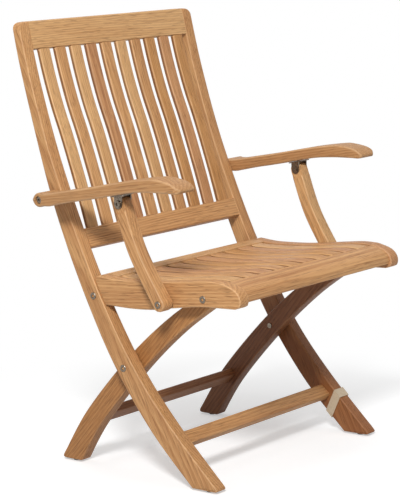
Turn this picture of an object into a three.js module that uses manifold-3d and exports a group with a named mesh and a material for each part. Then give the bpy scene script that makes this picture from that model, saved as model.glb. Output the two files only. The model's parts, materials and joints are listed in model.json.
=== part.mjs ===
// Folding teak armchair, unfolded, standing on its four feet.
// Millimetres. X runs across the chair, -Y is the front, +Z is up, the floor is Z = 0.
// The seat folds nose up about steel pins at its rear top edge; legs and arms follow it.
import * as THREE from 'three';
import { mergeVertices } from 'three/addons/utils/BufferGeometryUtils.js';
import Module from 'manifold-3d';

// Driving dimensions

const chair = {
  height: 924, // top of the back above the floor
  depth: 574, // from the seat's nose to the rear of the back
  stileSpan: 549, // outside to outside of the two long back stiles
  cornerRadius: 20, // rounded upper corners of the back
};
const fit = 0.1; // clearance round a fixed pin, or beside a shaped joint
const running = 0.1; // clearance round a pin that turns
const seam = 0.3; // clearance between two timbers shaped to each other
const ease = 2.5; // eased edge of the larger timbers
const overlap = 1; // how far a cutting shape reaches past the face it cuts

const glide = { height: 4, radius: 8, crown: 1.5 };

// Places in the side view are shares: the first of the chair's depth, the second of its height.
const stile = {
  thickness: 29.5,
  frontShares: [
    [-0.3728, 0.0087], [-0.1777, 0.1277], [-0.0244, 0.2403], [0.108, 0.3734], [0.2213, 0.5162],
    [0.3362, 0.6937], [0.4181, 0.8604], [0.4704, 1],
  ],
  rearShares: [
    [-0.2526, 0.0087], [-0.0784, 0.1169], [0.0784, 0.2489], [0.1969, 0.3853], [0.2953, 0.5238],
    [0.372, 0.6602], [0.4678, 0.8853], [0.5044, 1],
  ],
  boltShares: [0.165, 0.4016], // bolt of the seat hinge
  overrun: 40, // how far the edges are drawn on before they are cut level
  slopeReach: 10, // half the length over which an edge's lean is taken
  toeRadius: 6,
  heelBeyondEase: 0.5, // rounding of the heel beyond the eased edges
  headRadius: 6,
};
const leg = {
  thickness: 29,
  gap: 3.5, // washer space between leg and stile
  railGap: 1.3, // least space between leg and seat rail
  footShares: [0.3606, 0.0087],
  shinShares: [0.2429, 0.1132],
  crossingShares: [0.0371, 0.2474], // where the leg turns on the stile
  thighShares: [-0.154, 0.3479],
  tipDepthShare: -0.3333, // where the leg's pin carries the seat
  headRoom: 3.82, // space between the leg's tip and the seat slats
  footWidth: 47,
  crossingWidth: 43,
  tipWidth: 33,
  toeRadius: 7,
};
const rail = {
  thickness: 28,
  inset: 3.7, // the seat is this much narrower than the stiles on each side
  hingeShare: 0.4372, // height of the axis that the seat folds about
  hingeRound: 9.5, // rounding of the seat's rear top edge about that axis
  backGap: 0.8, // space between the seat's rear face and the stiles
  topShares: [
    [0.0697, 0.4432], [0, 0.4432], [-0.0871, 0.4453], [-0.1742, 0.4502], [-0.2613, 0.4562],
    [-0.3484, 0.4612], [-0.4094, 0.4602],
  ],
  noseShares: [
    [-0.4564, 0.4524], [-0.4808, 0.4437], [-0.493, 0.4329], [-0.4956, 0.4221], [-0.4895, 0.4123],
    [-0.4686, 0.4075],
  ],
  bottomShares: [
    [-0.4094, 0.4064], [-0.3206, 0.4042], [-0.1951, 0.3939], [-0.1045, 0.3853], [0, 0.382],
  ],
  web: 2.5, // wood between the leg pin's notch and the bolt from outside
  heelShare: 0.3837, // height of the rear bottom corner
  heelRadius: 5,
  notchTilt: -51, // slope of the way out of the leg pin's notch
  notchLength: 56,
};
const frontRail = {
  backShare: -0.4111,
  noseShare: -0.4861,
  bottomShare: 0.4183,
  drop: 1.5, // below the side rails' upper edge
  lip: 24, // width of its lower edge
  depthBehind: 27,
};
const rearRail = { depth: 38, thickness: 21 };
const seatSlat = { count: 10, thickness: 15, gap: 11, ease: 3, drop: 1 };
const batten = { placeShare: -0.1655, width: 42, thickness: 18 };
const backSlat = {
  count: 10,
  gap: 16,
  thickness: 10.5,
  ease: 3.5,
  lineShares: [
    [0.251, 0.533], [0.2838, 0.6026], [0.3193, 0.6721], [0.357, 0.7416], [0.399, 0.8111],
    [0.4331, 0.8807], [0.4606, 0.9502],
  ],
};
const lowerRail = { bottomShare: 0.5038, topShare: 0.5444, thickness: 21 };
const topRail = { height: 56, thickness: 20 };
const frontStretcher = { centreShares: [-0.1672, 0.0931], width: 31, thickness: 19.5, tilt: 41, round: 5 };
const rearStretcher = { centreShares: [0.2491, 0.1093], width: 33, thickness: 18.5, tilt: -46, round: 4 };

const arm = {
  gap: 2, // space between the stile and the armrest
  width: 56,
  pivotShares: [0.3153, 0.6169], // where the armrest turns on the stile
  topReach: 21, // start of the upper edge, in front of the pivot
  topRise: 13.95, // and above it
  upperShares: [
    [0.1916, 0.6407], [0.0958, 0.6504], [0, 0.6613], [-0.0958, 0.6715], [-0.1829, 0.6786],
    [-0.23, 0.68],
  ],
  underReach: 26, // start of the lower edge, in front of the pivot
  underFall: 12, // and below it
  lowerShares: [
    [0.1742, 0.6158], [0.0697, 0.6266], [-0.0261, 0.6374], [-0.1132, 0.6472], [-0.2003, 0.651],
    [-0.2787, 0.6515],
  ],
  tipShares: [-0.3345, 0.6574],
  browReach: 21, // end of the upper edge, behind the tip
  browRise: 14, // and above it
  chinReach: 9, // end of the lower edge, behind the tip
  chinFall: 5.5, // and below it
  tipRadius: 6,
  endRadius: 15,
  endBlend: 30, // angle over which the round end runs into the edges
  innerNoseWidth: 24, // rounding of the nose's inner corner; the outer one takes the rest
  innerNoseLength: 9,
  outerNoseLength: 14,
  ease: 4,
  wellDepth: 6, // sink of the bolt's head
};
const post = {
  thickness: 30,
  headDepthShare: -0.022, // where the post turns under the armrest
  headGap: 1.43, // space between the post's round head and the fork's plate
  bowShares: [-0.0819, 0.5141],
  heelShares: [-0.1848, 0.4075], // where the post meets the seat rail
  width: 27,
  heelRadius: 14.5,
  ease: 3,
  slotBelow: 7.2, // travel of the heel pin in its hidden slot, down from the pin's place
  slotAbove: 5.5, // and up from it
  slotTilt: 60, // slope of that slot
  slotPlay: 1,
  slotDepth: 12,
  pinGap: 1, // space between the pin's end and the bottom of the slot
};
const clevis = { ear: 2.5, earWidth: 20, plate: 2.5, plateLength: 34 };

const bolt = {
  radius: 4,
  headRadius: 7.5,
  headHeight: 3,
  rim: 0.8,
  proud: 1.6, // height of the head above the wood
  headPlay: 0.5, // clearance round the armrest bolt's head
  socketRadius: 3.5,
  socketDepth: 2.2,
  nutRadius: 7,
  endRadius: 5.5, // round end of the leg's bolt
  endHeight: 2,
  thinNut: 2.5,
  blindDepth: 14,
  stileGrip: 22, // length of the armrest's bolt inside the stile
};
const hinge = { plate: 2.5, width: 18, pinLength: 12 };
const legPin = { radius: 5, length: 11.5, play: 0.5, endGap: 1.3 };
const strap = { width: 21, wall: 1, heightShare: 0.0927, skew: 18.6, air: 0.6 };

// Places worked out from the sizes above

const sunk = bolt.headHeight - bolt.proud; // depth of a bolt's seat below the wood
const stileOuter = chair.stileSpan / 2;
const stileX = stileOuter - stile.thickness / 2;
const stileInner = stileOuter - stile.thickness;
const railX = stileOuter - rail.inset - rail.thickness / 2;
const railInner = railX - rail.thickness / 2;
const railOuter = railX + rail.thickness / 2;
const rearRailEnd = Math.min(railInner, stileInner - hinge.plate - running);
const legOuter = Math.min(stileInner - leg.gap, railInner - leg.railGap);
const legX = legOuter - leg.thickness / 2;
const seatBoltDepth = rail.thickness - legPin.length - rail.web;
const armInner = stileOuter + arm.gap;
const armX = armInner + arm.width / 2;
const postX = armInner + post.thickness / 2;

const point = (place) => (place.isVector2 ? place.clone() : new THREE.Vector2(...place));
const placed = ([depthShare, heightShare]) =>
  new THREE.Vector2(depthShare * chair.depth, heightShare * chair.height);
const places = (shares) => shares.map(placed);
const stileBoltAt = placed(stile.boltShares);
const crossingAt = placed(leg.crossingShares);
const armPivotAt = placed(arm.pivotShares);
const postHeelAt = placed(post.heelShares);
const railHingeHeight = rail.hingeShare * chair.height;
const railHeelHeight = rail.heelShare * chair.height;
const lowerRailBottom = lowerRail.bottomShare * chair.height;
const lowerRailTop = lowerRail.topShare * chair.height;
const topRailBottom = chair.height - topRail.height;
const frontRailBack = frontRail.backShare * chair.depth;
const frontRailNose = frontRail.noseShare * chair.depth;
const frontRailBottom = frontRail.bottomShare * chair.height;
const turned = (vector, angle) => vector.clone().rotateAround(new THREE.Vector2(), angle);
const degrees = THREE.MathUtils.degToRad;
const inDegrees = THREE.MathUtils.radToDeg;
const sameWay = 1e-4; // sine of the bend below which a line counts as straight
const samePlace = 1e-4; // points nearer than this are one
const closest = 0.1; // points of an outline nearer than this are one
const shortSide = 3; // a side as short as this isn't kept beside a rounded corner
const quarterTurn = 90; // angles are in degrees
const halfTurn = 2 * quarterTurn;
const curveSteps = 18;
const cornerSteps = 4;
const roundSteps = 20;
const hexagon = 6;

// Curves in the side view

// Points along the circle through three places, spread evenly by angle
function arcThrough(a, b, c, steps) {
  const [p, q, r] = [a, b, c].map(point);
  const d = 2 * (p.x * (q.y - r.y) + q.x * (r.y - p.y) + r.x * (p.y - q.y));
  const x = (p.lengthSq() * (q.y - r.y) + q.lengthSq() * (r.y - p.y) + r.lengthSq() * (p.y - q.y)) / d;
  const y = (p.lengthSq() * (r.x - q.x) + q.lengthSq() * (p.x - r.x) + r.lengthSq() * (q.x - p.x)) / d;
  const centre = new THREE.Vector2(x, y);
  const start = p.clone().sub(centre).angle();
  const sweep = r.clone().sub(centre).angle() - start;
  const shortest = Math.atan2(Math.sin(sweep), Math.cos(sweep));
  const radius = p.distanceTo(centre);
  return Array.from({ length: steps + 1 }, (unused, i) => {
    const angle = start + (shortest * i) / steps;
    return new THREE.Vector2(Math.cos(angle), Math.sin(angle)).multiplyScalar(radius).add(centre);
  });
}

// Points along a smooth curve through the given places
function smooth(pairs, steps) {
  return new THREE.SplineCurve(pairs.map(point)).getPoints(steps);
}

// The line at a varying distance to the left of a line, distance being a function of the share along it
function beside(line, distance) {
  return line.map((p, i) => {
    const before = line[Math.max(i - 1, 0)];
    const after = line[Math.min(i + 1, line.length - 1)];
    const along = after.clone().sub(before).normalize();
    const across = new THREE.Vector2(-along.y, along.x);
    return p.clone().addScaledVector(across, distance(i / (line.length - 1)));
  });
}

// The part of a rising line that lies above a height, starting exactly at that height
function above(line, height) {
  const first = line.findIndex((p) => p.y > height);
  const share = (height - line[first - 1].y) / (line[first].y - line[first - 1].y);
  return [line[first - 1].clone().lerp(line[first], share), ...line.slice(first)];
}

// A line extended straight beyond its first point
function extended(line, distance) {
  const back = line[0].clone().sub(line[1]).normalize().multiplyScalar(distance);
  return [line[0].clone().add(back), ...line];
}

// A line extended straight beyond both its ends
function overrun(line, distance) {
  return extended(extended(line, distance).reverse(), distance).reverse();
}

// The line without its first and last stretches, and without a short side where it is cut
function trimmed(line, fromStart, fromEnd) {
  const cut = (points, distance) => {
    if (distance === 0) return points;
    let left = distance;
    let i = 0;
    while (left > points[i].distanceTo(points[i + 1]) && i < points.length - 2) {
      left -= points[i].distanceTo(points[i + 1]);
      i += 1;
    }
    const start = points[i].clone().lerp(points[i + 1], left / points[i].distanceTo(points[i + 1]));
    const rest = points.slice(i + 1, -1).filter((p) => p.distanceTo(start) > shortSide);
    return [start, ...rest, points[points.length - 1]];
  };
  return cut(cut(line, fromStart).reverse(), fromEnd).reverse();
}

// A closed outline from edges that meet end to end, the corner after each rounded by its radius
function joined(edges, radii) {
  const corners = edges.map((edge, i) => {
    const next = edges[(i + 1) % edges.length];
    const place = edge[edge.length - 1];
    const back = edge[edge.length - 2].clone().sub(place).normalize();
    const on = next[1].clone().sub(place).normalize();
    const half = Math.acos(THREE.MathUtils.clamp(back.dot(on), -1, 1)) / 2;
    const inward = back.add(on).normalize();
    return { radius: radii[i], half, setback: radii[i] / Math.tan(half), place, inward };
  });
  const kept = edges.map((edge, i) => {
    const before = corners[(i + corners.length - 1) % corners.length];
    return trimmed(edge, before.setback, corners[i].setback);
  });
  const outline = [];
  kept.forEach((edge, i) => {
    outline.push(...edge);
    const { radius, half, place, inward } = corners[i];
    if (radius > 0) {
      const middle = place.clone().addScaledVector(inward, radius / Math.sin(half) - radius);
      const next = kept[(i + 1) % kept.length][0];
      outline.push(...arcThrough(edge[edge.length - 1], middle, next, cornerSteps).slice(1, -1));
    }
  });
  return withoutSpares(outline);
}

// An outline without repeated points and without points in the middle of a straight run
function withoutSpares(outline) {
  const apart = outline.filter((p, i) => p.distanceTo(outline[(i + 1) % outline.length]) > closest);
  return apart.filter((p, i) => {
    const before = p.clone().sub(apart[(i + apart.length - 1) % apart.length]).normalize();
    const after = apart[(i + 1) % apart.length].clone().sub(p).normalize();
    return Math.abs(before.cross(after)) > sameWay;
  });
}

// A circular arc round a centre, angles in degrees
function arcRound(centre, radius, from, to, steps) {
  return Array.from({ length: steps + 1 }, (unused, i) => {
    const angle = degrees(from + ((to - from) * i) / steps);
    return new THREE.Vector2(Math.cos(angle), Math.sin(angle)).multiplyScalar(radius).add(centre);
  });
}

// Solids

// A side view outline made as thick as given across the chair, centred on X = 0, with eased edges
function slab(outline, thickness, edge, edgeSteps = 2) {
  const geometry = new THREE.ExtrudeGeometry(new THREE.Shape(outline), {
    depth: thickness - 2 * edge,
    bevelEnabled: edge > 0,
    bevelThickness: edge,
    bevelSize: edge,
    bevelOffset: -edge,
    bevelSegments: edgeSteps,
  });
  geometry.translate(0, 0, edge - thickness / 2);
  const across = new THREE.Vector3(1, 0, 0);
  const back = new THREE.Vector3(0, 1, 0);
  const up = new THREE.Vector3(0, 0, 1);
  return geometry.applyMatrix4(new THREE.Matrix4().makeBasis(back, up, across));
}

// A rod along X between two places
function rod(radius, fromX, toX, y, z, sides = roundSteps) {
  const geometry = new THREE.CylinderGeometry(radius, radius, Math.abs(toX - fromX), sides);
  geometry.rotateZ(degrees(quarterTurn));
  return geometry.translate((fromX + toX) / 2, y, z);
}

function box(fromX, toX, fromY, toY, fromZ, toZ) {
  const geometry = new THREE.BoxGeometry(toX - fromX, toY - fromY, toZ - fromZ);
  return geometry.translate((fromX + toX) / 2, (fromY + toY) / 2, (fromZ + toZ) / 2);
}

const wasm = await Module();
wasm.setup();

function toManifold(geometry) {
  const bare = geometry.clone();
  bare.deleteAttribute('normal');
  bare.deleteAttribute('uv');
  const merged = mergeVertices(bare, samePlace);
  const mesh = new wasm.Mesh({
    numProp: 3,
    vertProperties: new Float32Array(merged.attributes.position.array),
    triVerts: new Uint32Array(merged.index.array),
  });
  mesh.merge();
  return new wasm.Manifold(mesh);
}

function fromManifold(solid) {
  const mesh = solid.getMesh();
  const geometry = new THREE.BufferGeometry();
  geometry.setAttribute('position', new THREE.BufferAttribute(new Float32Array(mesh.vertProperties), 3));
  geometry.setIndex(new THREE.BufferAttribute(new Uint32Array(mesh.triVerts), 1));
  geometry.computeVertexNormals();
  return geometry;
}

const cut = (base, ...tools) =>
  fromManifold(tools.reduce((solid, tool) => solid.subtract(toManifold(tool)), toManifold(base)));
const fuse = (base, ...others) =>
  fromManifold(others.reduce((solid, other) => solid.add(toManifold(other)), toManifold(base)));
const common = (base, other) => fromManifold(toManifold(base).intersect(toManifold(other)));

// Materials

const looks = {
  teak: { color: 0xc89a6a, roughness: 0.62, metalness: 0 },
  paleTeak: { color: 0xd6ad80, roughness: 0.62, metalness: 0 },
  redTeak: { color: 0xb8804f, roughness: 0.62, metalness: 0 },
  steel: { color: 0xb9b6af, roughness: 0.3, metalness: 1 },
  rubber: { color: 0x161412, roughness: 0.75, metalness: 0 },
  tape: { color: 0xb9ac9a, roughness: 0.8, metalness: 0 },
};

function mesh(name, geometry, look, x = 0, y = 0, z = 0) {
  const piece = new THREE.Mesh(geometry, new THREE.MeshStandardMaterial(looks[look]));
  piece.name = name;
  piece.position.set(x, y, z);
  return piece;
}

function body(name, ...pieces) {
  const group = new THREE.Group();
  group.name = name;
  group.add(...pieces.flat());
  return group;
}

// Left is -X. Every pair is made by calling its function with both sides.
const sides = [{ name: 'left', sign: -1 }, { name: 'right', sign: 1 }];
const eachSide = (make) => sides.map(make).flat();

// Stiles

const stileFront = overrun(smooth(places(stile.frontShares), curveSteps), stile.overrun);
const stileRear = overrun(smooth(places(stile.rearShares), curveSteps), stile.overrun);

// Depth coordinate of the stile's front or rear face at a height
function faceAt(line, height) {
  const i = line.findIndex((p) => p.y >= height);
  const [low, high] = [line[i - 1], line[i]];
  return THREE.MathUtils.mapLinear(height, low.y, high.y, low.x, high.x);
}
const frontAt = (height) => faceAt(stileFront, height);

function cappedAbove(line, height) {
  const top = new THREE.Vector2(faceAt(line, height), height);
  return [...line.filter((p) => p.y < height - stile.headRadius), top];
}

function stileOutline() {
  const front = cappedAbove(above(stileFront, glide.height), chair.height);
  const rear = cappedAbove(above(stileRear, glide.height), chair.height).reverse();
  const head = [front[front.length - 1], rear[0]];
  const sole = [rear[rear.length - 1], front[0]];
  const radii = [stile.headRadius, stile.headRadius, ease + stile.heelBeyondEase, stile.toeRadius];
  return joined([front, head, rear, sole], radii);
}

// The outline of the back seen from the front, with its two rounded upper corners
function backEnvelope() {
  const half = chair.stileSpan / 2;
  const radius = chair.cornerRadius;
  const shape = new THREE.Shape();
  shape.moveTo(-half, 0);
  shape.lineTo(half, 0);
  shape.lineTo(half, chair.height - radius);
  shape.absarc(half - radius, chair.height - radius, radius, 0, degrees(quarterTurn), false);
  shape.absarc(radius - half, chair.height - radius, radius, degrees(quarterTurn), degrees(halfTurn), false);
  const geometry = new THREE.ExtrudeGeometry(shape, { depth: 2 * chair.depth, bevelEnabled: false });
  geometry.rotateX(degrees(quarterTurn));
  return geometry.translate(0, chair.depth, 0);
}

// Lean of the stile's front face from upright at a height
function slopeAt(height) {
  const step = stile.slopeReach;
  return Math.atan2(frontAt(height + step) - frontAt(height - step), 2 * step);
}

// The seat's hinge lies in front of the stile, clear of it by the rounding and the gap
const hingeSetback = (rail.hingeRound + rail.backGap) / Math.cos(slopeAt(railHingeHeight));
const hingeAxis = new THREE.Vector2(frontAt(railHingeHeight) - hingeSetback, railHingeHeight);

// The seat slats' underside at a depth
const slatUnderside = (y) => seatHeightAt(y) - seatSlat.drop - seatSlat.thickness;

// The leg's round tip lies under the slats, beside the seat rail
const legTipDepth = leg.tipDepthShare * chair.depth;
const legTipHeight = slatUnderside(legTipDepth) - leg.headRoom - leg.tipWidth / 2;
const legTipAt = new THREE.Vector2(legTipDepth, legTipHeight);

function makeStile({ name, sign }) {
  const outer = sign * (stile.thickness / 2 + overlap);
  const hole = ([y, z], radius) => rod(radius, -outer, outer, y, z);
  const shaped = common(
    slab(stileOutline(), stile.thickness, ease),
    backEnvelope().translate(-sign * stileX, 0, 0),
  );
  const recess = stile.thickness / 2 - sunk - fit;
  const sink = ([y, z]) => rod(bolt.headRadius + fit, sign * recess, outer, y, z);
  const bored = cut(
    shaped,
    hole(stileBoltAt, bolt.radius + fit),
    hole(crossingAt, bolt.radius + fit),
    hole(armPivotAt, bolt.radius + fit),
    sink(stileBoltAt),
    sink(crossingAt),
  );
  return mesh(`stile_${name}`, bored, 'teak', sign * stileX);
}

// Rails of the back

// The place behind the stile's front face at a height, square to that face
function behind(height, distance) {
  const slope = slopeAt(height);
  return new THREE.Vector2(frontAt(height) + distance * Math.cos(slope), height - distance * Math.sin(slope));
}

// The band between two heights of the stile's front face, as thick as given
function railOutline(bottom, top, thickness, round, endRear) {
  const heights = [bottom, (bottom + top) / 2, top];
  const front = heights.map((z) => behind(z, 0));
  const rear = heights.map((z) => behind(z, thickness)).reverse();
  rear[0] = endRear ?? rear[0];
  const head = [front[front.length - 1], rear[0]];
  const sole = [rear[rear.length - 1], front[0]];
  return joined([front, head, rear, sole], [round, round, round, round]);
}

function makeTopRail() {
  const depth = topRail.thickness / Math.cos(slopeAt(chair.height));
  const end = new THREE.Vector2(frontAt(chair.height) + depth, chair.height);
  const outline = railOutline(topRailBottom, chair.height, topRail.thickness, ease, end);
  return mesh('top_rail', slab(outline, 2 * stileInner, 0), 'paleTeak');
}

function makeLowerRail() {
  const outline = railOutline(lowerRailBottom, lowerRailTop, lowerRail.thickness, ease);
  return mesh('lower_back_rail', slab(outline, 2 * stileInner, 0), 'teak');
}

// Slats of the back

// Where the line through two points crosses the line through two others
function meet(a, b, c, d) {
  const way = b.clone().sub(a);
  const wall = d.clone().sub(c);
  const share = c.clone().sub(a).cross(wall) / way.cross(wall);
  return a.clone().addScaledVector(way, share);
}

// A slat's ends are cut to the faces of the rails, which lean with the stiles
function backSlatOutline() {
  const line = smooth(places(backSlat.lineShares), curveSteps / 2);
  const half = backSlat.thickness / 2;
  const foot = [behind(lowerRailTop + seam, 0), behind(lowerRailTop + seam, lowerRail.thickness)];
  const head = [behind(topRailBottom - seam, 0), behind(topRailBottom - seam, topRail.thickness)];
  const ended = (edge) => {
    const last = edge.length - 1;
    return [meet(edge[0], edge[1], ...foot), ...edge.slice(1, -1), meet(edge[last], edge[last - 1], ...head)];
  };
  const front = ended(beside(line, () => half));
  const rear = ended(beside(line, () => -half)).reverse();
  return withoutSpares([...front, ...rear]);
}

function makeBackSlats() {
  const room = 2 * stileInner;
  const width = (room - backSlat.gap * (backSlat.count + 1)) / backSlat.count;
  const outline = backSlatOutline();
  return Array.from({ length: backSlat.count }, (unused, i) => {
    const x = -stileInner + backSlat.gap * (i + 1) + width * (i + 0.5);
    const look = ['teak', 'paleTeak', 'redTeak'][i % 3];
    return mesh(`back_slat_${i + 1}`, slab(outline, width, backSlat.ease, 1), look, x);
  });
}

// Stretchers: bars across the legs, turned to lie along them

function barOutline({ centreShares, width, thickness, tilt, round }) {
  const along = turned(new THREE.Vector2(width / 2, 0), degrees(tilt));
  const across = turned(new THREE.Vector2(0, thickness / 2), degrees(tilt));
  const corner = (a, b) => placed(centreShares).addScaledVector(along, a).addScaledVector(across, b);
  const corners = [corner(-1, -1), corner(1, -1), corner(1, 1), corner(-1, 1)];
  const edges = corners.map((p, i) => [p, corners[(i + 1) % corners.length]]);
  return joined(edges, [round, round, round, round]);
}

// Rear legs

function legLine() {
  const { footShares, shinShares, crossingShares, thighShares } = leg;
  const lower = places([footShares, shinShares, crossingShares, thighShares]);
  return smooth([...lower, legTipAt], curveSteps);
}

function legOutline() {
  const line = legLine();
  const crossing = line.findIndex((p) => p.x <= crossingAt.x) / curveSteps;
  const half = (share) => {
    if (share < crossing) {
      return THREE.MathUtils.lerp(leg.footWidth, leg.crossingWidth, share / crossing) / 2;
    }
    return THREE.MathUtils.lerp(leg.crossingWidth, leg.tipWidth, (share - crossing) / (1 - crossing)) / 2;
  };
  const lower = above(extended(beside(line, half), leg.footWidth), glide.height);
  const upper = above(extended(beside(line, (share) => -half(share)), leg.footWidth), glide.height);
  const heading = inDegrees(legTipAt.clone().sub(line[line.length - 2]).angle());
  const [from, to] = [heading + quarterTurn, heading - quarterTurn];
  const round = arcRound(legTipAt, leg.tipWidth / 2, from, to, 2 * cornerSteps);
  const front = [...lower.slice(0, -1), ...round];
  const rear = [round[round.length - 1], ...upper.slice(0, -1).reverse()];
  const sole = [rear[rear.length - 1], front[0]];
  return joined([front, rear, sole], [0, leg.toeRadius, leg.toeRadius]);
}

function makeLeg({ name, sign }) {
  const pinEnd = railInner + legPin.length - legPin.endGap - legX;
  const shaped = slab(legOutline(), leg.thickness, ease);
  const pinned = fuse(shaped, rod(legPin.radius, 0, sign * pinEnd, ...legTipAt));
  const bored = cut(pinned, rod(bolt.radius + running, -leg.thickness, leg.thickness, ...crossingAt));
  return mesh(`rear_leg_${name}`, bored, 'redTeak', sign * legX);
}

// Seat frame

function hingeRim() {
  const to = -inDegrees(slopeAt(railHingeHeight));
  return arcRound(hingeAxis, rail.hingeRound, quarterTurn, to, 2 * cornerSteps);
}

// The seat's upper surface in the side view, from the rear edge forward to the nose
function seatTop(drop) {
  const start = [hingeAxis.x, hingeAxis.y + rail.hingeRound];
  const pairs = [start, ...places(rail.topShares)].map(([y, z]) => [y, z - drop]);
  return smooth(pairs, curveSteps);
}

function railSideOutline() {
  const top = seatTop(0);
  const nosePlaces = places(rail.noseShares);
  const nose = smooth([top[top.length - 1], ...nosePlaces], 2 * cornerSteps);
  const heel = [frontAt(railHeelHeight) - rail.backGap, railHeelHeight];
  const bottom = smooth([nosePlaces[nosePlaces.length - 1], ...places(rail.bottomShares), heel], curveSteps);
  const rim = hingeRim().reverse();
  const backFace = [bottom[bottom.length - 1], rim[0]];
  return joined([[...top, ...nose.slice(1)], bottom, backFace, rim], [0, rail.heelRadius, 0, 0]);
}

function makeSideRail({ name, sign }) {
  const half = rail.thickness / 2;
  const before = -sign * (half + overlap);
  const deep = (depth) => sign * (depth - half);
  const outward = sign * (half + overlap);
  const pocket = deep(stileInner - railInner + fit);
  // room for the hinge plate beside the stile
  const pocketBox = box(
    Math.min(before, pocket),
    Math.max(before, pocket),
    hingeAxis.x - hinge.width / 2 - running,
    stileBoltAt.x + hinge.width,
    railHeelHeight - hinge.width,
    hingeAxis.y + rail.hingeRound + hinge.width,
  );
  const wayOut = turned(new THREE.Vector2(rail.notchLength, 0), degrees(rail.notchTilt));
  const notchEnd = legTipAt.clone().add(wayOut);
  const blind = (depth) => deep(rail.thickness - depth);
  const bored = cut(
    slab(railSideOutline(), rail.thickness, ease),
    pocketBox,
    rod(bolt.radius + running, before, deep(hinge.plate + hinge.pinLength + fit), ...hingeAxis),
    slot(legTipAt, notchEnd, legPin.radius + legPin.play, before, deep(legPin.length)),
    rod(bolt.radius + fit, blind(seatBoltDepth), outward, ...legTipAt),
    rod(bolt.headRadius + fit, sign * (half - sunk - fit), outward, ...legTipAt),
    rod(bolt.radius + fit, blind(bolt.blindDepth), outward, ...postHeelAt),
  );
  return mesh(`side_rail_${name}`, bored, 'teak', sign * railX);
}

function makeFrontRail() {
  const start = new THREE.Vector2(frontRailBack, seatHeightAt(frontRailBack) - frontRail.drop);
  const setBack = ([y, z]) => new THREE.Vector2(Math.max(y + rail.inset, frontRailNose), z);
  const nose = smooth([start, ...places(rail.noseShares).map(setBack)], 2 * cornerSteps);
  const face = nose.filter((p) => p.y > frontRailBottom);
  const toe = new THREE.Vector2(face[face.length - 1].x, frontRailBottom);
  const lip = new THREE.Vector2(toe.x + frontRail.lip, frontRailBottom);
  const under = new THREE.Vector2(frontRailBack, start.y - frontRail.depthBehind);
  const edges = [[...face, toe], [toe, lip], [lip, under], [under, start]];
  return mesh('front_rail', slab(joined(edges, [ease, ease, 0, 0]), 2 * railInner, 0), 'paleTeak');
}

// Height of the seat's upper surface at a depth
function seatHeightAt(y) {
  const line = seatTop(0).reverse();
  const i = Math.max(line.findIndex((p) => p.x >= y), 1);
  return THREE.MathUtils.mapLinear(y, line[i - 1].x, line[i].x, line[i - 1].y, line[i].y);
}

const rearRailFront = hingeAxis.x - rearRail.depth + rail.hingeRound;

function makeRearRail() {
  const topZ = hingeAxis.y + rail.hingeRound;
  const round = arcRound(hingeAxis, rail.hingeRound, -quarterTurn, quarterTurn, 2 * cornerSteps);
  const under = hingeAxis.y - rail.hingeRound;
  const a = new THREE.Vector2(rearRailFront, seatHeightAt(rearRailFront));
  const b = new THREE.Vector2(rearRailFront, topZ - rearRail.thickness);
  const c = new THREE.Vector2(hingeAxis.x - rail.hingeRound, topZ - rearRail.thickness);
  const start = new THREE.Vector2(hingeAxis.x, under);
  const end = round[round.length - 1];
  const topEdge = [end, ...seatTop(0).filter((p) => p.x > rearRailFront + fit && p.x < end.x - fit), a];
  const edges = [topEdge, [a, b], [b, c], [c, start], round];
  const outline = joined(edges, [0, 0, 0, 0, 0]);
  return mesh('rear_rail', slab(outline, 2 * rearRailEnd, 0), 'paleTeak');
}

function seatSlatOutline() {
  const inside = (p) => p.x < rearRailFront - fit && p.x > frontRailBack + fit;
  const line = seatTop(seatSlat.drop).filter(inside);
  const at = (y) => new THREE.Vector2(y, seatHeightAt(y) - seatSlat.drop);
  const upper = [at(rearRailFront - fit), ...line.slice(1, -1), at(frontRailBack + fit)];
  const lower = beside(upper, () => seatSlat.thickness).map((p, i) => {
    const ends = i === 0 || i === upper.length - 1;
    return ends ? new THREE.Vector2(upper[i].x, p.y) : p;
  });
  const back = lower.reverse();
  return withoutSpares([...upper, ...back]);
}

function makeSeatSlats() {
  const room = 2 * railInner;
  const width = (room - seatSlat.gap * (seatSlat.count + 1)) / seatSlat.count;
  const outline = seatSlatOutline();
  return Array.from({ length: seatSlat.count }, (unused, i) => {
    const x = -railInner + seatSlat.gap * (i + 1) + width * (i + 0.5);
    const look = ['paleTeak', 'teak', 'redTeak'][i % 3];
    return mesh(`seat_slat_${i + 1}`, slab(outline, width, seatSlat.ease, 1), look, x);
  });
}

function makeBatten() {
  const middle = batten.placeShare * chair.depth;
  const [rear, front] = [middle + batten.width / 2, middle - batten.width / 2];
  const top = Array.from({ length: cornerSteps + 1 }, (unused, i) => {
    const y = THREE.MathUtils.lerp(rear, front, i / cornerSteps);
    return new THREE.Vector2(y, slatUnderside(y) - seam);
  });
  const bottom = Math.min(top[0].y, top[cornerSteps].y) - batten.thickness;
  const outline = [...top, point([front, bottom]), point([rear, bottom])];
  return mesh('seat_batten', slab(withoutSpares(outline), 2 * railInner, 0), 'teak');
}

// Armrests and their posts

const armTipAt = placed(arm.tipShares);
const armTop = new THREE.Vector2(armPivotAt.x - arm.topReach, armPivotAt.y + arm.topRise);
const armUnder = new THREE.Vector2(armPivotAt.x - arm.underReach, armPivotAt.y - arm.underFall);
const armBrow = new THREE.Vector2(armTipAt.x + arm.browReach, armTipAt.y + arm.browRise);
const armChin = new THREE.Vector2(armTipAt.x + arm.chinReach, armTipAt.y - arm.chinFall);
const armUpper = smooth([armTop, ...places(arm.upperShares), armBrow, armTipAt], curveSteps);
const armLower = smooth([armUnder, ...places(arm.lowerShares), armChin, armTipAt], curveSteps).reverse();

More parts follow.
